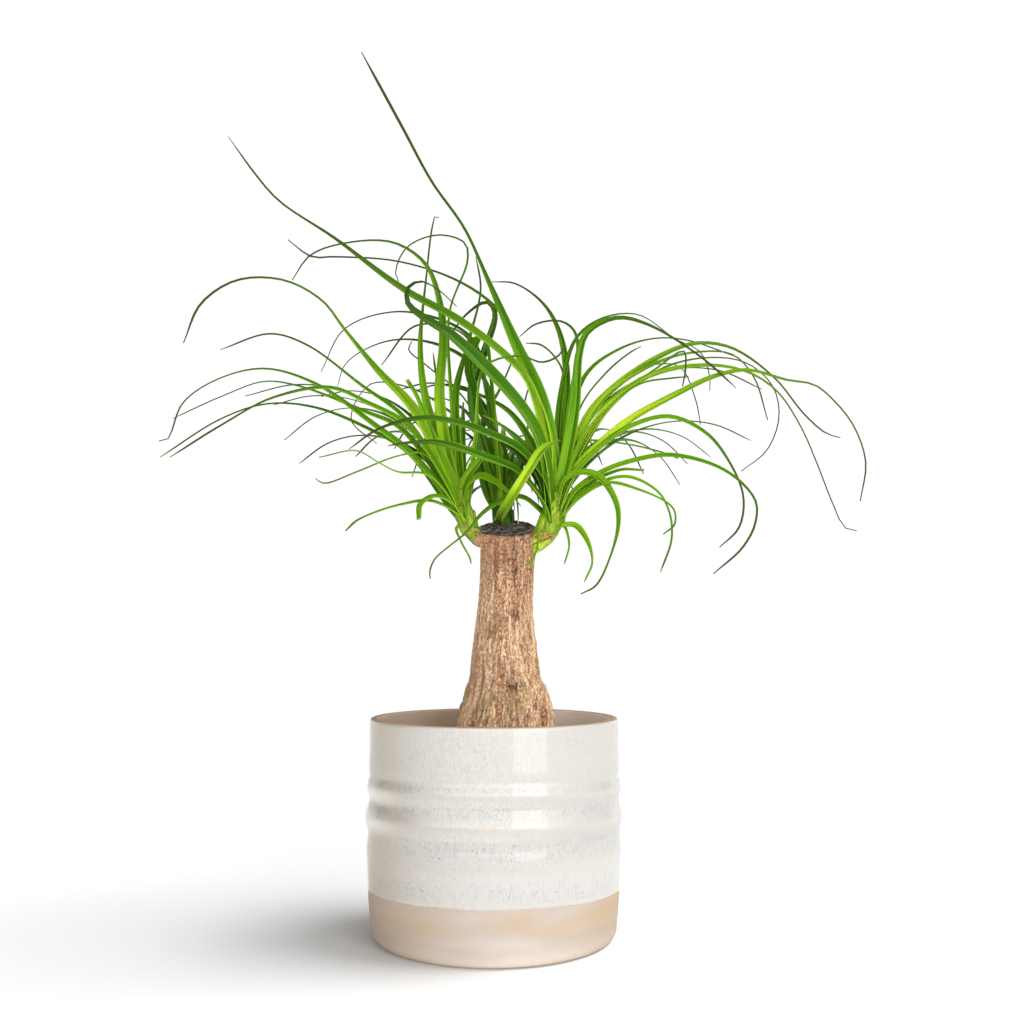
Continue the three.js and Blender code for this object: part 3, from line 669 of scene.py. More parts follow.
def bark_finish():
    bark = Finish("fissured_bark")
    place = bark.place()
    across, deep, up = bark.parts(place)
    height, side = up / MM, across / MM
    warp = bark.noise(place, 180.0, 2.0)
    fine = bark.grain(place, 0.62, 900.0, 5.0, 0.72)
    flakes = bark.grain(place, 0.22, 560.0, 4.0, 0.68)
    creases = bark.noise(bark.stretched((0.36, 0.36, 1.7), place), 620.0, 3.0, 0.6)
    soft = bark.grain(place, 0.2, 150.0, 3.0, 0.6)
    strands = bark.grain(place, 0.09, 480.0, 3.0, 0.6)
    wide = bark.grain(place, 0.5, 45.0, 3.0)
    pores = bark.cells(bark.stretched((1.0, 1.0, 0.6), place), 620.0)
    bent = bark.warped(place, 260.0, 3.0, (0.006, 0.006, 0.006), (1.0, 1.0, 0.42))
    plates = bark.cells(bent, 380.0, "DISTANCE_TO_EDGE")
    furrow = bark.attribute("furrow")
    high = height.over(178.0, 222.0)
    low = height.under(104.0, 128.0)
    tan = bark.blend((0.44, 0.205, 0.098), (0.80, 0.505, 0.285), soft.over(0.36, 0.60))
    reddish = bark.blend(tan, (0.52, 0.25, 0.125), high * (0.35 + 0.4 * wide.over(0.4, 0.6)))
    streaked = bark.blend(reddish, (0.86, 0.63, 0.40), flakes.over(0.50, 0.66) * (0.62 - 0.32 * high))
    grained = bark.blend(streaked, (0.15, 0.055, 0.025), fine.over(0.52, 0.60) * 0.72)
    paled = bark.blend(grained, (0.97, 0.80, 0.60), fine.under(0.38, 0.47) * (0.8 - 0.4 * high))
    plated = bark.blend(paled, (0.12, 0.05, 0.025), plates.under(0.02, 0.12) * 0.5)
    creased = bark.blend(plated, (0.14, 0.058, 0.03), creases.over(0.53, 0.63) * (0.2 + 0.6 * high))
    lit_strands = strands.over(0.55, 0.63) * (0.4 + 0.45 * low - 0.2 * high)
    stranded = bark.blend(creased, (0.95, 0.74, 0.52), lit_strands)
    dark_strands = strands.under(0.37, 0.44) * (0.35 + 0.55 * low)
    shadowed = bark.blend(stranded, (0.13, 0.048, 0.024), dark_strands)
    # Painted shade: the bark is darkened along its cracks and grooves, more so low down.
    painted_crack_shade = bark.blend(shadowed, (0.10, 0.042, 0.022), furrow.over(0.45, 0.95) * (0.45 + 0.4 * low))
    mottled = bark.blend(painted_crack_shade, (0.20, 0.09, 0.045), wide.over(0.56, 0.72) * 0.35)
    # Painted light: the bark is paler towards the left side.
    painted_light_left_bark = bark.blend(mottled, (0.90, 0.60, 0.36), side.under(-16.0, 4.0) * 0.2)
    pitted = bark.blend(painted_light_left_bark, (0.07, 0.03, 0.017), pores.under(0.05, 0.20) * 0.45)
    moss = height.band(132.0, 12.0) * wide.over(0.46, 0.6)
    mossy = bark.blend(pitted, (0.27, 0.25, 0.07), moss * 0.28)
    marks_and_groove_shade = bark_marks_and_groove_shade(side, height, warp, fine) * deep.under(-0.008, 0.0)
    marked = bark.blend(mossy, (0.05, 0.022, 0.016), marks_and_groove_shade)
    return bark.set(
        Base_Color=marked,
        Specular_IOR_Level=0.2,
        Roughness=0.85,
        Normal=bark.bump(flakes * 0.4 - fine * 0.8 - creases * 0.5 - furrow * 0.4, 0.8, 0.0008),
    )


def cut_finish():
    cut = Finish("weathered_cut_wood")
    place = cut.place()
    fibres = cut.noise(place, 1000.0, 4.0, 0.7)
    patches = cut.noise(place, 230.0, 4.0, 0.6)
    bent = cut.warped(place, 140.0, 2.0, (0.006, 0.006, 0.0), (1.0, 1.5, 0.0))
    splits = cut.cells(bent, 105.0, "DISTANCE_TO_EDGE")
    grey = cut.blend((0.030, 0.023, 0.019), (0.17, 0.13, 0.11), fibres.over(0.36, 0.62))
    worn = cut.blend(grey, (0.36, 0.30, 0.265), patches.over(0.50, 0.64) * 0.8)
    sunken = cut.blend(worn, (0.022, 0.018, 0.017), patches.under(0.34, 0.47) * 0.8)
    split = cut.blend(sunken, (0.010, 0.008, 0.007), splits.under(0.012, 0.055))
    return cut.set(
        Base_Color=split,
        Roughness=0.9,
        Normal=cut.bump(fibres * 0.6 + patches * 1.4 + splits.over(0.0, 0.08), 0.9, 0.0016),
    )


# Greens of a leaf from its root outwards, for a pale, a middling and a deep one. A place
# of 1 is GREENS_REACH metres along it

GREENS_REACH = 0.3
LEAF_GREENS = [
    [
        (0.0, (0.44, 0.62, 0.03)),
        (0.10, (0.38, 0.60, 0.014)),
        (0.19, (0.56, 0.74, 0.028)),
        (0.36, (0.18, 0.36, 0.006)),
        (0.8, (0.033, 0.078, 0.003)),
    ], [
        (0.0, (0.29, 0.52, 0.014)),
        (0.10, (0.175, 0.41, 0.004)),
        (0.24, (0.120, 0.335, 0.002)),
        (0.45, (0.054, 0.16, 0.003)),
        (0.8, (0.021, 0.060, 0.003)),
    ], [
        (0.0, (0.05, 0.18, 0.003)),
        (0.12, (0.013, 0.075, 0.001)),
        (0.4, (0.007, 0.046, 0.001)),
        (0.8, (0.009, 0.032, 0.002)),
    ],
]


def leaf_finish():
    leaf = Finish("strap_leaf")
    uv = leaf.node("ShaderNodeTexCoord", output="UV")
    across, along, _ = leaf.parts(uv)
    reach = leaf.attribute("reach")
    tone = leaf.attribute("tone")
    dry = leaf.attribute("dry")
    width = leaf.attribute("width")
    side = (across - 0.5).magnitude()
    fine = leaf.joined(across * width * 3.4 + tone * 37.0, along * 2.0, tone * 11.0)
    veins = leaf.noise(fine, 1.0, 2.0, 0.6)
    coarse = leaf.joined(across * width * 0.5 + tone * 19.0, reach * 30.0, tone * 7.0)
    broad = leaf.noise(coarse, 1.0)
    pale, middle, deep = (leaf.ramp(reach / GREENS_REACH, stops) for stops in LEAF_GREENS)
    fresh = leaf.blend(pale, middle, (tone * 4.0).clipped())
    green = leaf.blend(fresh, deep, ((tone - 0.35) / 0.65).clipped())
    near = reach.under(0.06, 0.2)
    shine = (0.14 + 0.38 * near - 0.22 * tone).clipped()
    light = leaf.blend(green, (0.48, 0.68, 0.06), veins.over(0.53, 0.70) * shine)
    dark_veins = veins.under(0.29, 0.46) * (0.26 + 0.4 * tone).clipped()
    lined = leaf.blend(light, (0.005, 0.034, 0.001), dark_veins)
    # Painted shade: one half of each blade, across its fold, is darker.
    painted_shade_half = leaf.blend(lined, (0.010, 0.072, 0.001), across.over(0.44, 0.56) * 0.42)
    shaded = leaf.blend(painted_shade_half, (0.022, 0.12, 0.002), broad.over(0.5, 0.68) * 0.45)
    rib = side.under(0.015, 0.07) * (0.08 + 0.22 * near)
    ribbed = leaf.blend(shaded, (0.42, 0.62, 0.06), rib)
    # Painted highlight: pale margins along each blade, strongest near the root.
    edge = side.over(0.43, 0.49) * (0.12 + 0.33 * near - 0.2 * tone).clipped()
    painted_margin_highlight = leaf.blend(ribbed, (0.36, 0.58, 0.05), edge)
    long = reach.over(0.06, 0.15)
    # Painted sheen: a pale blue-green band along the middle of dark leaves.
    painted_sheen_band = across.band(0.3, 0.2) * along.band(0.45, 0.45) * tone.over(0.55, 0.8)
    painted_sheen = leaf.blend(painted_margin_highlight, (0.15, 0.33, 0.11), painted_sheen_band * 0.55)
    olive = leaf.blend(painted_sheen, (0.044, 0.066, 0.009), along.over(0.5, 0.92) * long * 0.76)
    wisp = leaf.blend(olive, (0.055, 0.050, 0.024), along.over(0.82, 0.99) * long * 0.6)
    dried = leaf.blend(wisp, (0.34, 0.29, 0.09), dry * along.over(0.97, 0.998))
    return leaf.set(
        Base_Color=dried,
        Specular_IOR_Level=0.06,
        Roughness=0.30 + 0.14 * broad,
        Normal=leaf.bump(veins, 0.35, 0.0003),
    )


def stem_finish():
    stem = Finish("leaf_bases")
    place = stem.place()
    folds = stem.grain(place, 0.16, 420.0, 3.0)
    fibres = stem.grain(place, 0.3, 900.0, 3.0, 0.65)
    shade = stem.noise(place, 90.0, 3.0)
    scale = stem.attribute("scale")
    tone = stem.attribute("tone")
    bright = stem.blend((0.20, 0.38, 0.008), (0.56, 0.66, 0.08), folds.over(0.38, 0.62))
    greener = stem.blend(bright, (0.085, 0.24, 0.004), shade.over(0.5, 0.66) * 0.5)
    deeper = stem.blend(greener, (0.03, 0.10, 0.003), tone)
    parchment = stem.blend((0.24, 0.095, 0.03), (0.54, 0.33, 0.12), fibres.over(0.38, 0.62))
    papery = stem.blend(deeper, parchment, (scale * 1.3 + shade * 0.5 - 0.42).over(0.25, 0.5))
    return stem.set(
        Base_Color=papery,
        Specular_IOR_Level=0.12,
        Roughness=0.42 + 0.2 * folds,
        Normal=stem.bump(folds + fibres * scale, 0.5, 0.0006),
    )


def floor_finish():
    floor = Finish("pale_floor")
    return floor.set(Base_Color=(0.92, 0.92, 0.92), Roughness=0.9)


# Meshes


def added(name, data):
    """A new object of the scene, at the origin."""
    made = bpy.data.objects.new(name, data)
    bpy.context.scene.collection.objects.link(made)
    return made


def meshed(name, bm, materials):
    """Turns a bmesh in millimetres into an object in metres."""
    bmesh.ops.scale(bm, vec=(MM, MM, MM), verts=bm.verts)
    mesh = bpy.data.meshes.new(name)
    bm.to_mesh(mesh)
    bm.free()
    for material in materials:
        mesh.materials.append(material)
    return added(name, mesh)


def finished(name, bm, materials, slot, *nodes):
    """Turns a bmesh into the smooth piece that stands for the named nodes."""
    piece = meshed(name, bm, materials)
    piece.data.shade_smooth()
    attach(piece, "root")
    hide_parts(*nodes)
    return piece


def turned(profile, steps):
    """A closed skin spun round the Z axis from a profile that starts and ends on it."""
    bm = bmesh.new()
    points = [bm.verts.new((radius, 0.0, height)) for radius, height in profile]
    edges = [bm.edges.new(pair) for pair in zip(points, points[1:])]
    bmesh.ops.spin(
        bm, geom=points + edges, cent=(0, 0, 0), axis=(0, 0, 1), angle=2 * math.pi,
        steps=steps, use_merge=True, use_duplicate=False,
    )
    bmesh.ops.remove_doubles(bm, verts=bm.verts, dist=1e-4)
    bmesh.ops.recalc_face_normals(bm, faces=bm.faces)
    return bm


def even(points, step):
    """The same outline with a point at least every step, in straight lines between its corners."""
    outline = [points[0]]
    for (r0, z0), (r1, z1) in zip(points, points[1:]):
        spans = max(1, math.ceil(math.hypot(r1 - r0, z1 - z0) / step))
        outline += [(mix(r0, r1, k / spans), mix(z0, z1, k / spans)) for k in range(1, spans + 1)]
    return outline


def quarter(centre, width, height, start, steps):
    """The points of a quarter turn about a centre, anticlockwise from start degrees."""
    turns = [math.radians(start + 90 * step / steps) for step in range(steps + 1)]
    return [(centre[0] + width * math.cos(turn), centre[1] + height * math.sin(turn)) for turn in turns]


# The cover pot


def pot_outer_radius(height):
    radius = float(np.interp(height, *zip(*POT_SIDE)))
    radius += sum(rise * swell(height, centre, reach) for centre, rise, reach in RIDGES)
    return radius - sum(fall * swell(height, centre, reach) for centre, fall, reach in GROOVES)


def pot_profile():
    foot_radius = POT_SIDE[0][1] - 0.1 - POT_FOOT_ROUND
    foot = quarter((foot_radius, POT_FOOT_ROUND), POT_FOOT_ROUND, POT_FOOT_ROUND, -90, 6)
    raw = [(pot_outer_radius(z), z) for z in np.arange(7.5, GLAZE_LINE - 0.6, 1.5)]
    edge = [(pot_outer_radius(GLAZE_LINE), GLAZE_LINE - 0.25)]
    glazed = []
    first_rows = [GLAZE_LINE, GLAZE_LINE + 0.4, GLAZE_LINE + 1.0]
    for z in [*first_rows, *np.arange(GLAZE_LINE + 1.5, POT_HEIGHT - 2, 0.9)]:
        thickness = GLAZE_THICKNESS * smooth((z - GLAZE_LINE + 0.6) / 1.4)
        glazed.append((pot_outer_radius(z) + thickness - 0.2, z))
    rim = quarter((POT_RADIUS - 1.5, POT_HEIGHT - 1.6), 1.7, 1.6, 0, 6)
    inner = POT_RADIUS - POT_WALL
    lip = quarter((inner + 1.2, POT_HEIGHT - 1.2), 1.2, 1.2, 90, 5)
    inside = even([(inner, POT_HEIGHT - 1.2), *POT_INSIDE], 3)[1:]
    underside = [(0, 0), (30, 0), (60, 0)]
    floor = [(30, POT_FLOOR), (0, POT_FLOOR)]
    return [*underside, *foot, *raw, *edge, *glazed, *rim, *lip, *inside, *floor]


def make_pot(materials):
    bm = turned(pot_profile(), POT_TURNS)
    inner = POT_RADIUS - POT_WALL + 0.9
    for face in bm.faces:
        middle = face.calc_center_median()
        radius = math.hypot(middle.x, middle.y)
        below_glaze = middle.z < GLAZE_LINE - 0.12
        if middle.z < 1 or below_glaze and radius > 60:
            face.material_index = RAW_CLAY
        elif below_glaze or radius < inner - 0.6:
            face.material_index = INSIDE_CLAY
        elif middle.z > POT_HEIGHT - 0.5:
            face.material_index = RAW_CLAY
    for vertex in bm.verts:
        x, y, z = vertex.co
        radius = math.hypot(x, y)
        if radius < 1 or z < 1:
            continue
        turn = Vector((x, y, 0)) / radius
        outside = smooth((radius - inner) / 1.5)
        level = smooth((z - 2) / 24) * smooth((POT_HEIGHT - 5 - z) / 24)
        tilt = -RIDGE_TILT * turn.y * level
        wave = sum(rise * noise.noise(turn * pace) for rise, pace in GLAZE_EDGE_WAVES)
        line = wave * swell(z, GLAZE_LINE, 3.0)
        throwing = 0.16 * noise.noise(Vector((turn.x * 1.5, turn.y * 1.5, z / 9)))
        wider = 1 + throwing * level / radius
        vertex.co = Vector((x * wider, y * wider, z + (tilt + line) * outside))
    return finished("pot_body", bm, materials, "pot_glaze", "pot")


# The nursery pot and the soil


def make_nursery_pot(material):
    foot = POT_FLOOR + GAP
    rim = foot + NURSERY_HEIGHT
    inner = NURSERY_RIM_RADIUS - NURSERY_LIP - NURSERY_WALL
    profile = even([
        (0, foot), (NURSERY_BASE_RADIUS - 1, foot), (NURSERY_BASE_RADIUS, foot + 1),
        (NURSERY_RIM_RADIUS - NURSERY_LIP, rim - 6), (NURSERY_RIM_RADIUS - 0.3, rim - 6),
        (NURSERY_RIM_RADIUS, rim - 5.6), (NURSERY_RIM_RADIUS, rim - 0.5), (NURSERY_RIM_RADIUS - 0.5, rim),
        (inner + 0.4, rim), (inner, rim - 0.4), (inner, rim - 6),
        (NURSERY_BASE_RADIUS - NURSERY_WALL, foot + 1.2), (0, foot + 1.2),
    ], 6)
    bm = turned(profile, NURSERY_TURNS)
    return finished("nursery_cup", bm, [material], "nursery_plastic", "nursery_pot")


def soil_height(x, y):
    rim = POT_FLOOR + GAP + NURSERY_HEIGHT
    radius = math.hypot(x, y)
    dome = SOIL_DOME * smooth((54 - radius) / 20)
    lumps = 0.9 * noise.noise(Vector((x, y, 0)) / 9) + 0.6 * noise.noise(Vector((x, y, 5)) / 3.5)
    return rim - SOIL_BELOW_RIM + dome - 0.9 + lumps


def make_soil(material):
    foot = POT_FLOOR + 2 * GAP + 1.2
    top = POT_FLOOR + GAP + NURSERY_HEIGHT - SOIL_BELOW_RIM
    inner = NURSERY_RIM_RADIUS - NURSERY_LIP - NURSERY_WALL
    wall = mix(NURSERY_BASE_RADIUS - NURSERY_WALL, inner, (top - foot) / (NURSERY_HEIGHT - 8)) - 0.4
    surface = [(radius, top) for radius in np.linspace(wall, 0, 46)]
    base = [(0, foot), (NURSERY_BASE_RADIUS - 1.6, foot)]
    halfway = (mix(NURSERY_BASE_RADIUS, wall, 0.5) - 0.6, 50)
    bm = turned([*base, halfway, *surface], SOIL_TURNS)
    for vertex in bm.verts:
        if vertex.co.z > top - 0.01:
            vertex.co.z = soil_height(vertex.co.x, vertex.co.y)
    tone = bm.verts.layers.float.new("tone")
    for index in range(CRUMBS):
        turn = draw(index, 1) * 2 * math.pi
        radius = mix(CRUMBS_FROM, wall - 1.5, math.sqrt(draw(index, 2)))
        size = mix(*CRUMB_SIZES, draw(index, 3) ** 2)
        off_centre = TRUNK_FOOT_ACROSS * (1 - radius / 70)
        spot = Vector((off_centre + radius * math.cos(turn), radius * math.sin(turn), 0))
        if spot.xy.length > wall - 1:
            continue
        spot.z = soil_height(spot.x, spot.y) + size * 0.2
        crumb = bmesh.ops.create_icosphere(bm, subdivisions=1, radius=size)["verts"]
        squash = (1, mix(0.5, 1, draw(index, 4)), mix(0.4, 0.9, draw(index, 5)))
        bmesh.ops.scale(bm, vec=squash, verts=crumb)
        tip = Matrix.Rotation(draw(index, 7) - 0.5, 3, "X")
        spin = Matrix.Rotation(draw(index, 6) * 6, 3, "Z")
        bmesh.ops.rotate(bm, cent=(0, 0, 0), matrix=spin @ tip, verts=crumb)
        bmesh.ops.translate(bm, vec=spot, verts=crumb)
        for vertex in crumb:
            vertex[tone] = draw(index, 8)
    return finished("soil_crumbs", bm, [material], "potting_soil", "soil")


# The trunk


TRUNK_CURVE = curve_at(np.array(TRUNK_LEVELS, float), np.linspace(0, 1, 400)).T


def trunk_edge(height):
    """The trunk's centre across and its radius at a height."""
    heights, centres, radii = TRUNK_CURVE
    return float(np.interp(height, heights, centres)), float(np.interp(height, heights, radii))


def furrow_at(turn, height):
    """How deep the bark is cracked at a place, from 0 to 1, and its broad and fine lumps."""
    place = Vector((math.cos(turn), math.sin(turn), 0))
    warp = 0.35 * noise.noise(Vector((place.x * 2, place.y * 2, height / 16)))
    around = place * (7.5 + 2 * warp)
    long_cracks = abs(noise.noise(Vector((around.x, around.y, height / 34))))
    short_cracks = abs(noise.noise(Vector((around.x * 2.3, around.y * 2.3, height / 9 + 40))))
    crack = 1 - min(1.0, 4.2 * long_cracks, 3.4 * short_cracks + 0.15)
    lumps = noise.noise(Vector((place.x * 3, place.y * 3, height / 22)))
    fine = noise.noise(Vector((around.x * 3.4, around.y * 3.4, height / 5)))
    return crack, lumps, fine


def knee_at(turn, height, fine):
    """How far the trunk stands out on its left, just under the left shoot."""
    leftward = math.remainder(turn - math.pi, 2 * math.pi)
    ledge = height - KNEE_HEIGHT + 2.2 * noise.noise(Vector((turn * 9, 0, 3)))
    return (KNEE_REACH + 1.6 * fine) * smooth(ledge / 3.2) * swell(leftward, 0.2, 0.46)


def groove_at(turn, height):
    """How deep the two fine grooves are that run down the front from the cut."""
    beside = abs(math.remainder(turn - GROOVE_BEARING, 2 * math.pi))
    return swell(beside, 0.085, 0.035) * smooth((height - 203) / 10)


def make_trunk(materials):
    low, high = TRUNK_LEVELS[0][0], CUT_HEIGHT
    side = [(10.0, low + (high - low) * row / TRUNK_ROWS) for row in range(TRUNK_ROWS + 1)]
    cap = [(10.0 * share, high + 0.35) for share in np.linspace(0.985, 0, 26)]
    bm = turned([(0.0, low), (5.0, low), *side, *cap], TRUNK_TURNS)
    furrow = bm.verts.layers.float.new("furrow")
    for face in bm.faces:
        if face.calc_center_median().z > high + 0.2:
            face.material_index = 1
    for vertex in bm.verts:
        height = vertex.co.z
        share = vertex.co.xy.length / 10.0
        turn = math.atan2(vertex.co.y, vertex.co.x)
        across, radius = trunk_edge(height)
        flare = smooth((FLARE_TOP - height) / (FLARE_TOP - FLARE_BASE))
        reach = radius * (1 + FLARE_RIB_SHARE * flare * math.cos(FLARE_RIBS * turn + 0.6))
        crack, lumps, fine = furrow_at(turn, height)
        groove = groove_at(turn, height)
        folds = flare * (0.8 * math.cos(17 * turn + 2 * lumps) + 0.4 * math.cos(31 * turn + 5 * lumps))
        step = 0.5 * smooth((144 + 5 * fine - height) / 2.5) - 0.7 * flare
        relief = 0.5 * lumps + 0.4 * fine + folds + step - crack * (0.5 + 0.7 * flare) - groove
        full = reach + knee_at(turn, height, fine) + relief * smooth((height - 68) / 8)
        slant = smooth((height - 196) / 40)
        x, y = across + full * share * math.cos(turn), full * share * math.sin(turn)
        z = height + CUT_LEAN * y * slant
        if share < 0.99 and height > high:
            rough = noise.noise(Vector((x, y, 0)) / 3) + 0.6 * noise.noise(Vector((x, y, 9)) / 1.2)
            z += 0.45 * rough - 0.8 * smooth((1 - share) / 0.4)
        vertex.co = Vector((x, y, z))
        vertex[furrow] = max(crack, groove)
    return finished("trunk_bark", bm, materials, "bark", "trunk")


# Leaf routes


def on_sight(across, up, depth):
    share = (depth - EYE[1]) / -EYE[1]
    return np.array([mix(EYE[0], across, share), depth, mix(EYE[2], up, share)])


def spaced(knots, count=None):
    """Points at equal distances along the curve, and its length."""
    steps = np.linspace(0, 1, 201)
    strides = np.linalg.norm(np.diff(curve_at(knots, steps), axis=0), axis=1)
    lengths = np.concatenate([[0], np.cumsum(strides)])
    count = count or math.ceil(lengths[-1] / SAMPLE_STEP)
    wanted = np.linspace(0, lengths[-1], count + 1)
    return curve_at(knots, np.interp(wanted, lengths, steps)), lengths[-1]


def steered_route(spec):
    return np.array([on_sight(*point) for point in np.array(spec[2:], float).reshape(-1, 3)])


def read_route(shoot, spec, bow, reach):
    tip_depth = spec[2]
    flat = np.array(spec[3:], float).reshape(-1, 2)
    strides = np.hypot(*np.diff(flat, axis=0).T)
    shares = np.concatenate([[0], np.cumsum(strides)]) / np.sum(strides)
    root = shoot["depth"] + min(4, max(-4, (tip_depth - shoot["depth"]) * 0.08))
    return np.array([
        on_sight(*point, root + (tip_depth - root) * share**1.3 + bow * smooth(share / reach))
        for point, share in zip(flat, shares)
    ])


def arch_route(shoot, index, turned_by, lowered):
    fill = shoot["fill"]
    salt = shoot["depth"] + shoot["stem"][0][0]
    share = (index + 0.8 * draw(index, salt)) / fill["count"]
    heading = math.radians(mix(fill["from"], fill["to"], share) + turned_by)
    rise = math.radians(mix(*FILL_RISE, draw(index, salt + 1)) - lowered)
    droop = math.radians(mix(*fill["droop"], draw(index, salt + 2)))
    stride = mix(FILL_SHORTEST, fill["longest"], draw(index, salt + 3)) / FILL_SPANS
    across, up, _ = shoot["stem"][-2]
    line = [on_sight(across, up, shoot["depth"])]
    for knot in range(1, FILL_SPANS + 1):
        slope = mix(rise, -droop, ((knot - 0.5) / FILL_SPANS) ** 1.2)
        level = stride * math.cos(slope)
        step = (level * math.cos(heading), level * math.sin(heading), stride * math.sin(slope))
        line.append(line[-1] + np.array(step))
    return np.array(line)


def width_at(leaf, share):
    base = leaf["width"] * mix(CLASP_SHARE, 1, smooth_all(share / 0.15))
    if leaf["kind"] == "blunt_leaves":
        return np.maximum(NARROWEST, base * mix(1, BLUNT_TIP, share**3))
    start, end = TAPERS[leaf["kind"]]
    return np.maximum(NARROWEST, base * mix(1, TAPERED_TIP, smooth_all((share - start) / (end - start))))


def stem_centre(shoot, index):
    across, up, _ = shoot["stem"][index]
    return on_sight(across, up, mix(shoot["stem_start"], shoot["depth"], smooth(index / 2)))


def stem_samples(shoot):
    points = np.array([stem_centre(shoot, index) for index in range(len(shoot["stem"]))])
    return points, np.array([2.0 * radius for _, _, radius in shoot["stem"]])


def is_clear(points, widths, others, other_widths):
    """Whether a leaf stays clear of the trunk and of the other shoots."""
    x, y, z = points[6:].T
    heights, centres, radii = np.array(TRUNK_LEVELS).T
    beside = np.hypot(x - np.interp(z, heights, centres), y)
    is_low = z < CUT_HEIGHT + CUT_LEAN * y + 2
    if np.any(is_low & (beside < np.interp(z, heights, radii) + widths[6:] / 2 + 1)):
        return False
    apart = points[:, None, :] - others[None, :, :]
    near = (np.abs(apart[..., 1]) <= 9) & (np.abs(apart[..., 2]) <= 9)
    leaf_index, other_index = np.nonzero(near)
    distance = np.linalg.norm(apart[leaf_index, other_index], axis=1)
    return not np.any(distance <= 0.5 * (widths[leaf_index] + other_widths[other_index]) + CLEARANCE)


def settle(leaf, placed):
    """Bends a leaf just far enough to clear the other shoots' leaves placed before it."""
    rest = [one for one in placed if one["shoot"] is not leaf["shoot"]]
    others = np.vstack([one["points"] for one in rest])
    other_widths = np.concatenate([one["widths"] for one in rest])
    for bend in BENDS:
        for reach in BEND_REACHES:
            leaf["knots"] = leaf["route"](bend * (-1 if leaf["forward"] else 1), reach)
            leaf["points"], leaf["length"] = spaced(leaf["knots"])
            leaf["widths"] = width_at(leaf, np.linspace(0, 1, len(leaf["points"])))
            if is_clear(leaf["points"], leaf["widths"], others, other_widths):
                return


def read_leaf(shoot, kind, spec):
    def route(bend, reach):
        if kind == "steered":
            return steered_route(spec)
        return read_route(shoot, spec, bend * 5, reach)

    return {
        "shoot": shoot, "kind": kind, "width": spec[0], "tone": spec[1],
        "forward": spec[2] < shoot["depth"],
        "face": Vector((0, -1, 0.1) if kind == "steered" else (0, -0.8, 0.6)),
        "route": route,
    }


def fill_leaf(shoot, index):
    return {
        "shoot": shoot, "kind": "leaves", "width": mix(*FILL_WIDTH, draw(index, 7)),
        "tone": mix(0.55, 1.0, draw(index, 31)),
        "forward": False,
        "face": Vector((mix(-0.6, 0.6, draw(index, 11)), -0.3, 1)).normalized(),
        "route": lambda bend, reach: arch_route(shoot, index, bend * 4, 14 if reach < 0.5 else 0),
    }


def place_leaves():
    """The leaves of all shoots, each bent clear of those placed before it."""
    placed = []
    for shoot in SHOOTS:
        points, widths = stem_samples(shoot)
        placed.append({"shoot": shoot, "points": points, "widths": widths})
    for shoot in SHOOTS:
        for kind in LEAF_KINDS:
            for spec in shoot.get(kind, []):
                leaf = read_leaf(shoot, kind, spec)
                settle(leaf, placed)
                placed.append(leaf)
    for shoot in SHOOTS:
        for index in range(shoot["fill"]["count"]):
            leaf = fill_leaf(shoot, index)
            settle(leaf, placed)
            placed.append(leaf)
    return placed[len(SHOOTS):]


# Leaf blades


def untwisted_sides(points, tangents, face):
    """The blade's sideways direction at each station, carried along without twisting."""
    middle = len(points) // 2
    sides = [None] * len(points)
    sides[middle] = tangents[middle].cross(face).normalized()
    for index in [*range(middle + 1, len(points)), *range(middle - 1, -1, -1)]:
        near = sides[index - 1] if index > middle else sides[index + 1]
        along = tangents[index]
        sides[index] = (near - along * near.dot(along)).normalized()
    return sides


def add_blade(bm, leaf, index):
    points, length = spaced(leaf["knots"], BLADE_ALONG)
    points = [Vector(point) for point in points]
    ends = [points[0], *points, points[-1]]
    tangents = [(after - before).normalized() for before, after in zip(ends, ends[2:])]
    sides = untwisted_sides(points, tangents, leaf["face"])
    grid = bmesh.ops.create_grid(
        bm, x_segments=BLADE_ACROSS, y_segments=BLADE_ALONG, size=0.5, calc_uvs=True,
    )
    layers = {name: bm.verts.layers.float[name] for name in ("reach", "tone", "dry", "width")}
    for edge in {edge for vertex in grid["verts"] for edge in vertex.link_edges}:
        edge.smooth = any(abs(vertex.co.x) > 0.01 for vertex in edge.verts)
    twist_end = 0 if leaf["kind"] == "steered" else mix(-0.7, 0.7, draw(index, 21))
    ripple = mix(0.02, 0.06, draw(index, 22))
    for vertex in grid["verts"]:
        across, along = 2 * vertex.co.x, vertex.co.y + 0.5
        station = round(along * BLADE_ALONG)
        width = float(width_at(leaf, along))
        if along > POINT_STARTS and leaf["kind"] != "blunt_leaves":
            sharpened = mix(1, 0.25, (along - POINT_STARTS) / (1 - POINT_STARTS))
            width = max(POINT_WIDTH, width * sharpened)
        channel = CHANNEL_SHARE * width * mix(1.25, 0.6, along) * (abs(across) - 0.55)
        wave = ripple * width * abs(across) * math.sin(along * 19 + 3 * across + index)
        twist = twist_end * smooth((along - 0.25) / 0.75)
        side, tangent = sides[station], tangents[station]
        up = side.cross(tangent)
        turned_side = side * math.cos(twist) + up * math.sin(twist)
        turned_up = up * math.cos(twist) - side * math.sin(twist)
        beside, above = turned_side * (across * width / 2), turned_up * (channel + wave)
        vertex.co = points[station] + beside + above
        vertex[layers["reach"]] = along * length * MM
        vertex[layers["tone"]] = leaf["tone"]
        vertex[layers["dry"]] = leaf["dry"]
        vertex[layers["width"]] = width


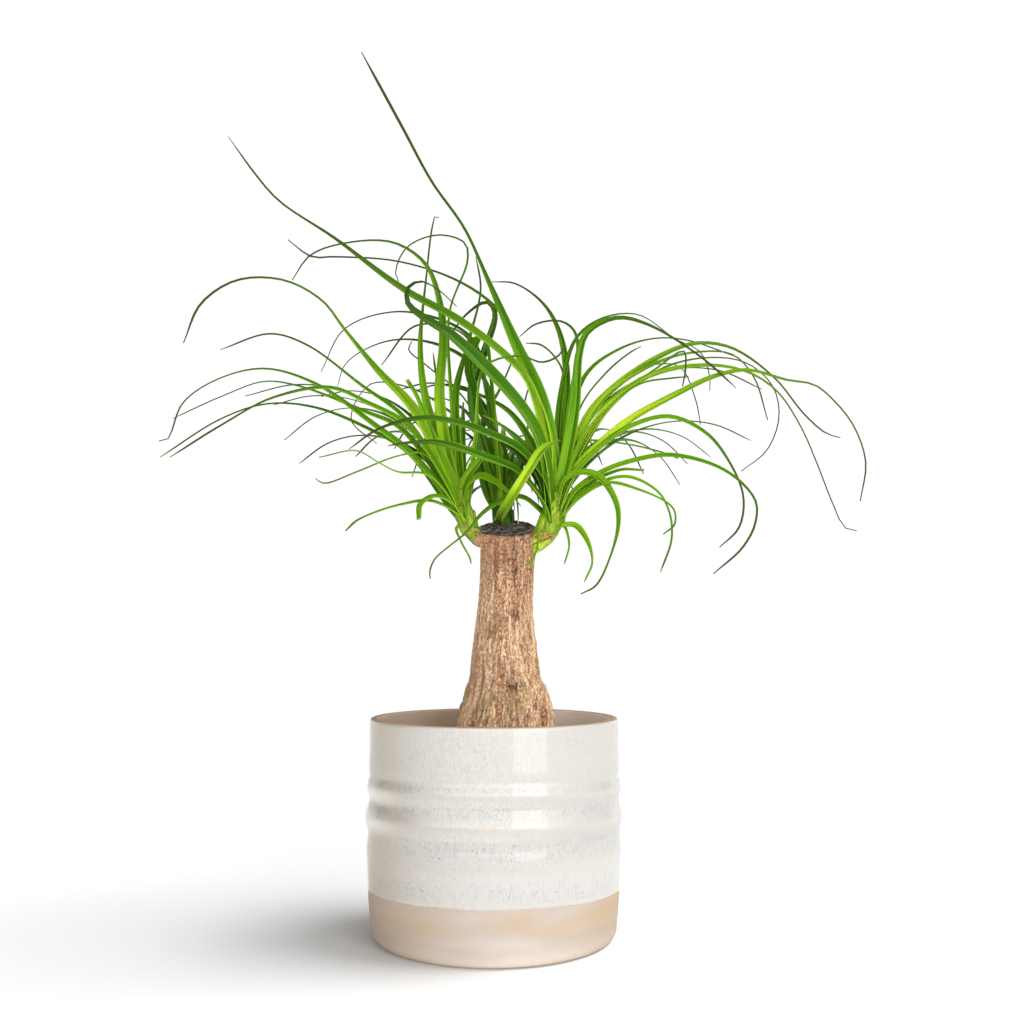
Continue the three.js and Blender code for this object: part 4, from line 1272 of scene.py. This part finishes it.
def make_leaves(shoot, leaves, materials):
    bm = bmesh.new()
    bm.loops.layers.uv.new("UVMap")
    for name in ("reach", "tone", "dry", "width", "scale"):
        bm.verts.layers.float.new(name)
    for index, leaf in enumerate(leaves):
        if leaf["shoot"] is shoot:
            is_blunt = leaf["kind"] == "blunt_leaves"
            leaf["dry"] = 1.0 if is_blunt or draw(index, 33) > 0.72 else 0.0
            add_blade(bm, leaf, index)
    bmesh.ops.solidify(bm, geom=list(bm.faces), thickness=BLADE_THICKNESS)
    add_stem(bm, shoot)
    bmesh.ops.recalc_face_normals(bm, faces=bm.faces)
    return finished(f"leaves_{shoot['name']}", bm, materials, "leaf", f"shoot_{shoot['name']}")


def raised(vertex, fresh):
    """The new vertex that an extrusion has joined to this one."""
    return next(edge.other_vert(vertex) for edge in vertex.link_edges if edge.other_vert(vertex) in fresh)


def add_stem(bm, shoot):
    """The bundle of leaf bases that grows out of the trunk, with a ragged papery foot."""
    radii = [radius for _, _, radius in shoot["stem"]]
    levels = np.array([[*stem_centre(shoot, index), radius] for index, radius in enumerate(radii)])
    rows = curve_at(levels, np.linspace(0, 1, STEM_ROWS + 1))
    before = len(bm.faces)
    ring = bmesh.ops.create_circle(bm, cap_ends=False, radius=1, segments=STEM_SIDES)["verts"]
    turns = [math.atan2(vertex.co.y, vertex.co.x) for vertex in ring]
    scale, tone = bm.verts.layers.float["scale"], bm.verts.layers.float["tone"]
    edges = [edge for edge in bm.edges if edge.verts[0] in ring and edge.verts[1] in ring]
    for row, (x, y, z, radius) in enumerate(rows):
        lower, upper = rows[max(0, row - 1)], rows[min(STEM_ROWS, row + 1)]
        lean = math.atan2(upper[0] - lower[0], upper[2] - lower[2])
        if row:
            made = bmesh.ops.extrude_edge_only(bm, edges=edges)["geom"]
            fresh = {vertex for vertex in made if isinstance(vertex, bmesh.types.BMVert)}
            ring = [raised(vertex, fresh) for vertex in ring]
            edges = [item for item in made if isinstance(item, bmesh.types.BMEdge)]
        share = row / STEM_ROWS
        for vertex, turn in zip(ring, turns):
            fold = 1 + 0.09 * abs(math.sin(2.5 * turn + 5 * share)) - 0.05
            wide = radius * fold * math.cos(turn)
            deep = 0.82 * radius * fold * math.sin(turn)
            vertex.co = Vector((x + wide * math.cos(lean), y + deep, z - wide * math.sin(lean)))
            ragged = noise.noise(Vector((math.cos(turn) * 1.5, math.sin(turn) * 1.5, shoot["depth"])))
            vertex[scale] = shoot["stem_torn"] * smooth((0.14 + 0.2 * ragged - share) / 0.12)
            vertex[tone] = shoot["stem_tone"]
    bmesh.ops.contextual_create(bm, geom=edges)
    for spec in STEM_SCALES:
        add_scale(bm, rows, spec, shoot)
    for face in list(bm.faces)[before:]:
        face.material_index = 1


def add_scale(bm, rows, spec, shoot):
    """A leaf base wrapped part of the way round the stem, whose edge may be torn and brown."""
    facing, half_turn, low, high, torn, darker = spec
    scale, tone = bm.verts.layers.float["scale"], bm.verts.layers.float["tone"]
    made = bmesh.ops.create_grid(bm, x_segments=14, y_segments=9, size=0.5)["verts"]
    for vertex in made:
        around, up = vertex.co.x * 2, vertex.co.y + 0.5
        torn_edge = 0.16 * noise.noise(Vector((around * 3.5, facing, low * 9)))
        top = mix(low, high, (1 - 0.55 * around * around + torn_edge))
        share = mix(low, top, up)
        x, y, z, radius = rows[min(STEM_ROWS, int(share * STEM_ROWS))]
        turn = math.radians(facing) + around * math.radians(half_turn)
        wide = radius * 1.05 + 0.3 + (0.7 + torn) * up**3
        vertex.co = Vector((x + wide * math.cos(turn), y + 0.84 * wide * math.sin(turn), z))
        vertex[scale] = torn * shoot["stem_torn"] * smooth((up - 0.62 + 0.25 * abs(around)) / 0.3)
        vertex[tone] = min(1.0, shoot["stem_tone"] + darker)
    faces = list({face for vertex in made for face in vertex.link_faces})
    bmesh.ops.recalc_face_normals(bm, faces=faces)
    bmesh.ops.solidify(bm, geom=faces, thickness=0.3)


# Light, floor and camera


def make_floor(material):
    bm = bmesh.new()
    bmesh.ops.create_grid(bm, x_segments=1, y_segments=1, size=6000)
    bmesh.ops.translate(bm, vec=(0, 0, -0.05), verts=bm.verts)
    floor = meshed("floor", bm, [material])


def hang_light(name, kind, power, place, aim):
    lamp = added(name, bpy.data.lights.new(name, kind))
    lamp.data.energy = power
    lamp.location = place
    lamp.rotation_euler = (Vector(aim) - Vector(place)).to_track_quat("-Z", "Y").to_euler()
    return lamp


def light_scene():
    world = bpy.data.worlds.new("studio")
    world.use_nodes = True
    sky = Graph(world.node_tree)
    across, deep, up = sky.parts(sky.node("ShaderNodeTexCoord", output="Generated"))
    side = SIDE_LIGHT * across.over(-0.8, 0.7)
    front = FRONT_LIGHT * (0 - deep).over(0.0, 0.9) * up.under(0.155, 0.57)
    backdrop = (BACKDROP_LIGHT - side) * deep.over(0.5, 0.73) * up.under(0.6, 0.8)
    seen = sky.node("ShaderNodeLightPath", output="Is Camera Ray")
    light = (side + front + backdrop) * (1 - seen) + BACKDROP_LIGHT * seen
    background = sky.tree.nodes["Background"]
    sky.feed(background.inputs["Strength"], light)
    sky.feed(background.inputs["Color"], (1.0, 1.0, 1.0))
    bpy.context.scene.world = world
    softbox = hang_light("softbox", "AREA", SOFTBOX_WATTS, SOFTBOX_PLACE, SOFTBOX_AIM)
    softbox.data.shape = "RECTANGLE"
    softbox.data.size, softbox.data.size_y = SOFTBOX_SIZE
    key = hang_light("key", "SUN", KEY_STRENGTH, KEY_PLACE, (0, 0, 0))
    key.data.angle = math.radians(KEY_SPREAD)
    key.visible_glossy = False
    bpy.context.scene.view_settings.view_transform = "Standard"


def add_camera():
    camera = bpy.data.cameras.new("camera")
    camera.lens = EYE_LENS
    camera.sensor_width = 36
    camera.clip_start = 0.01
    eye = added("camera", camera)
    eye.location = Vector(EYE) * MM
    eye.rotation_euler = (math.radians(90 + EYE_PITCH), 0, 0)
    bpy.context.scene.camera = eye


add_camera()
make_pot([glaze_finish(), clay_finish(), inner_clay_finish()])
make_nursery_pot(nursery_finish())
make_soil(soil_finish())
make_trunk([bark_finish(), cut_finish()])
all_leaves = place_leaves()
leaf_materials = [leaf_finish(), stem_finish()]
for each_shoot in SHOOTS:
    make_leaves(each_shoot, all_leaves, leaf_materials)
make_floor(floor_finish())
light_scene()
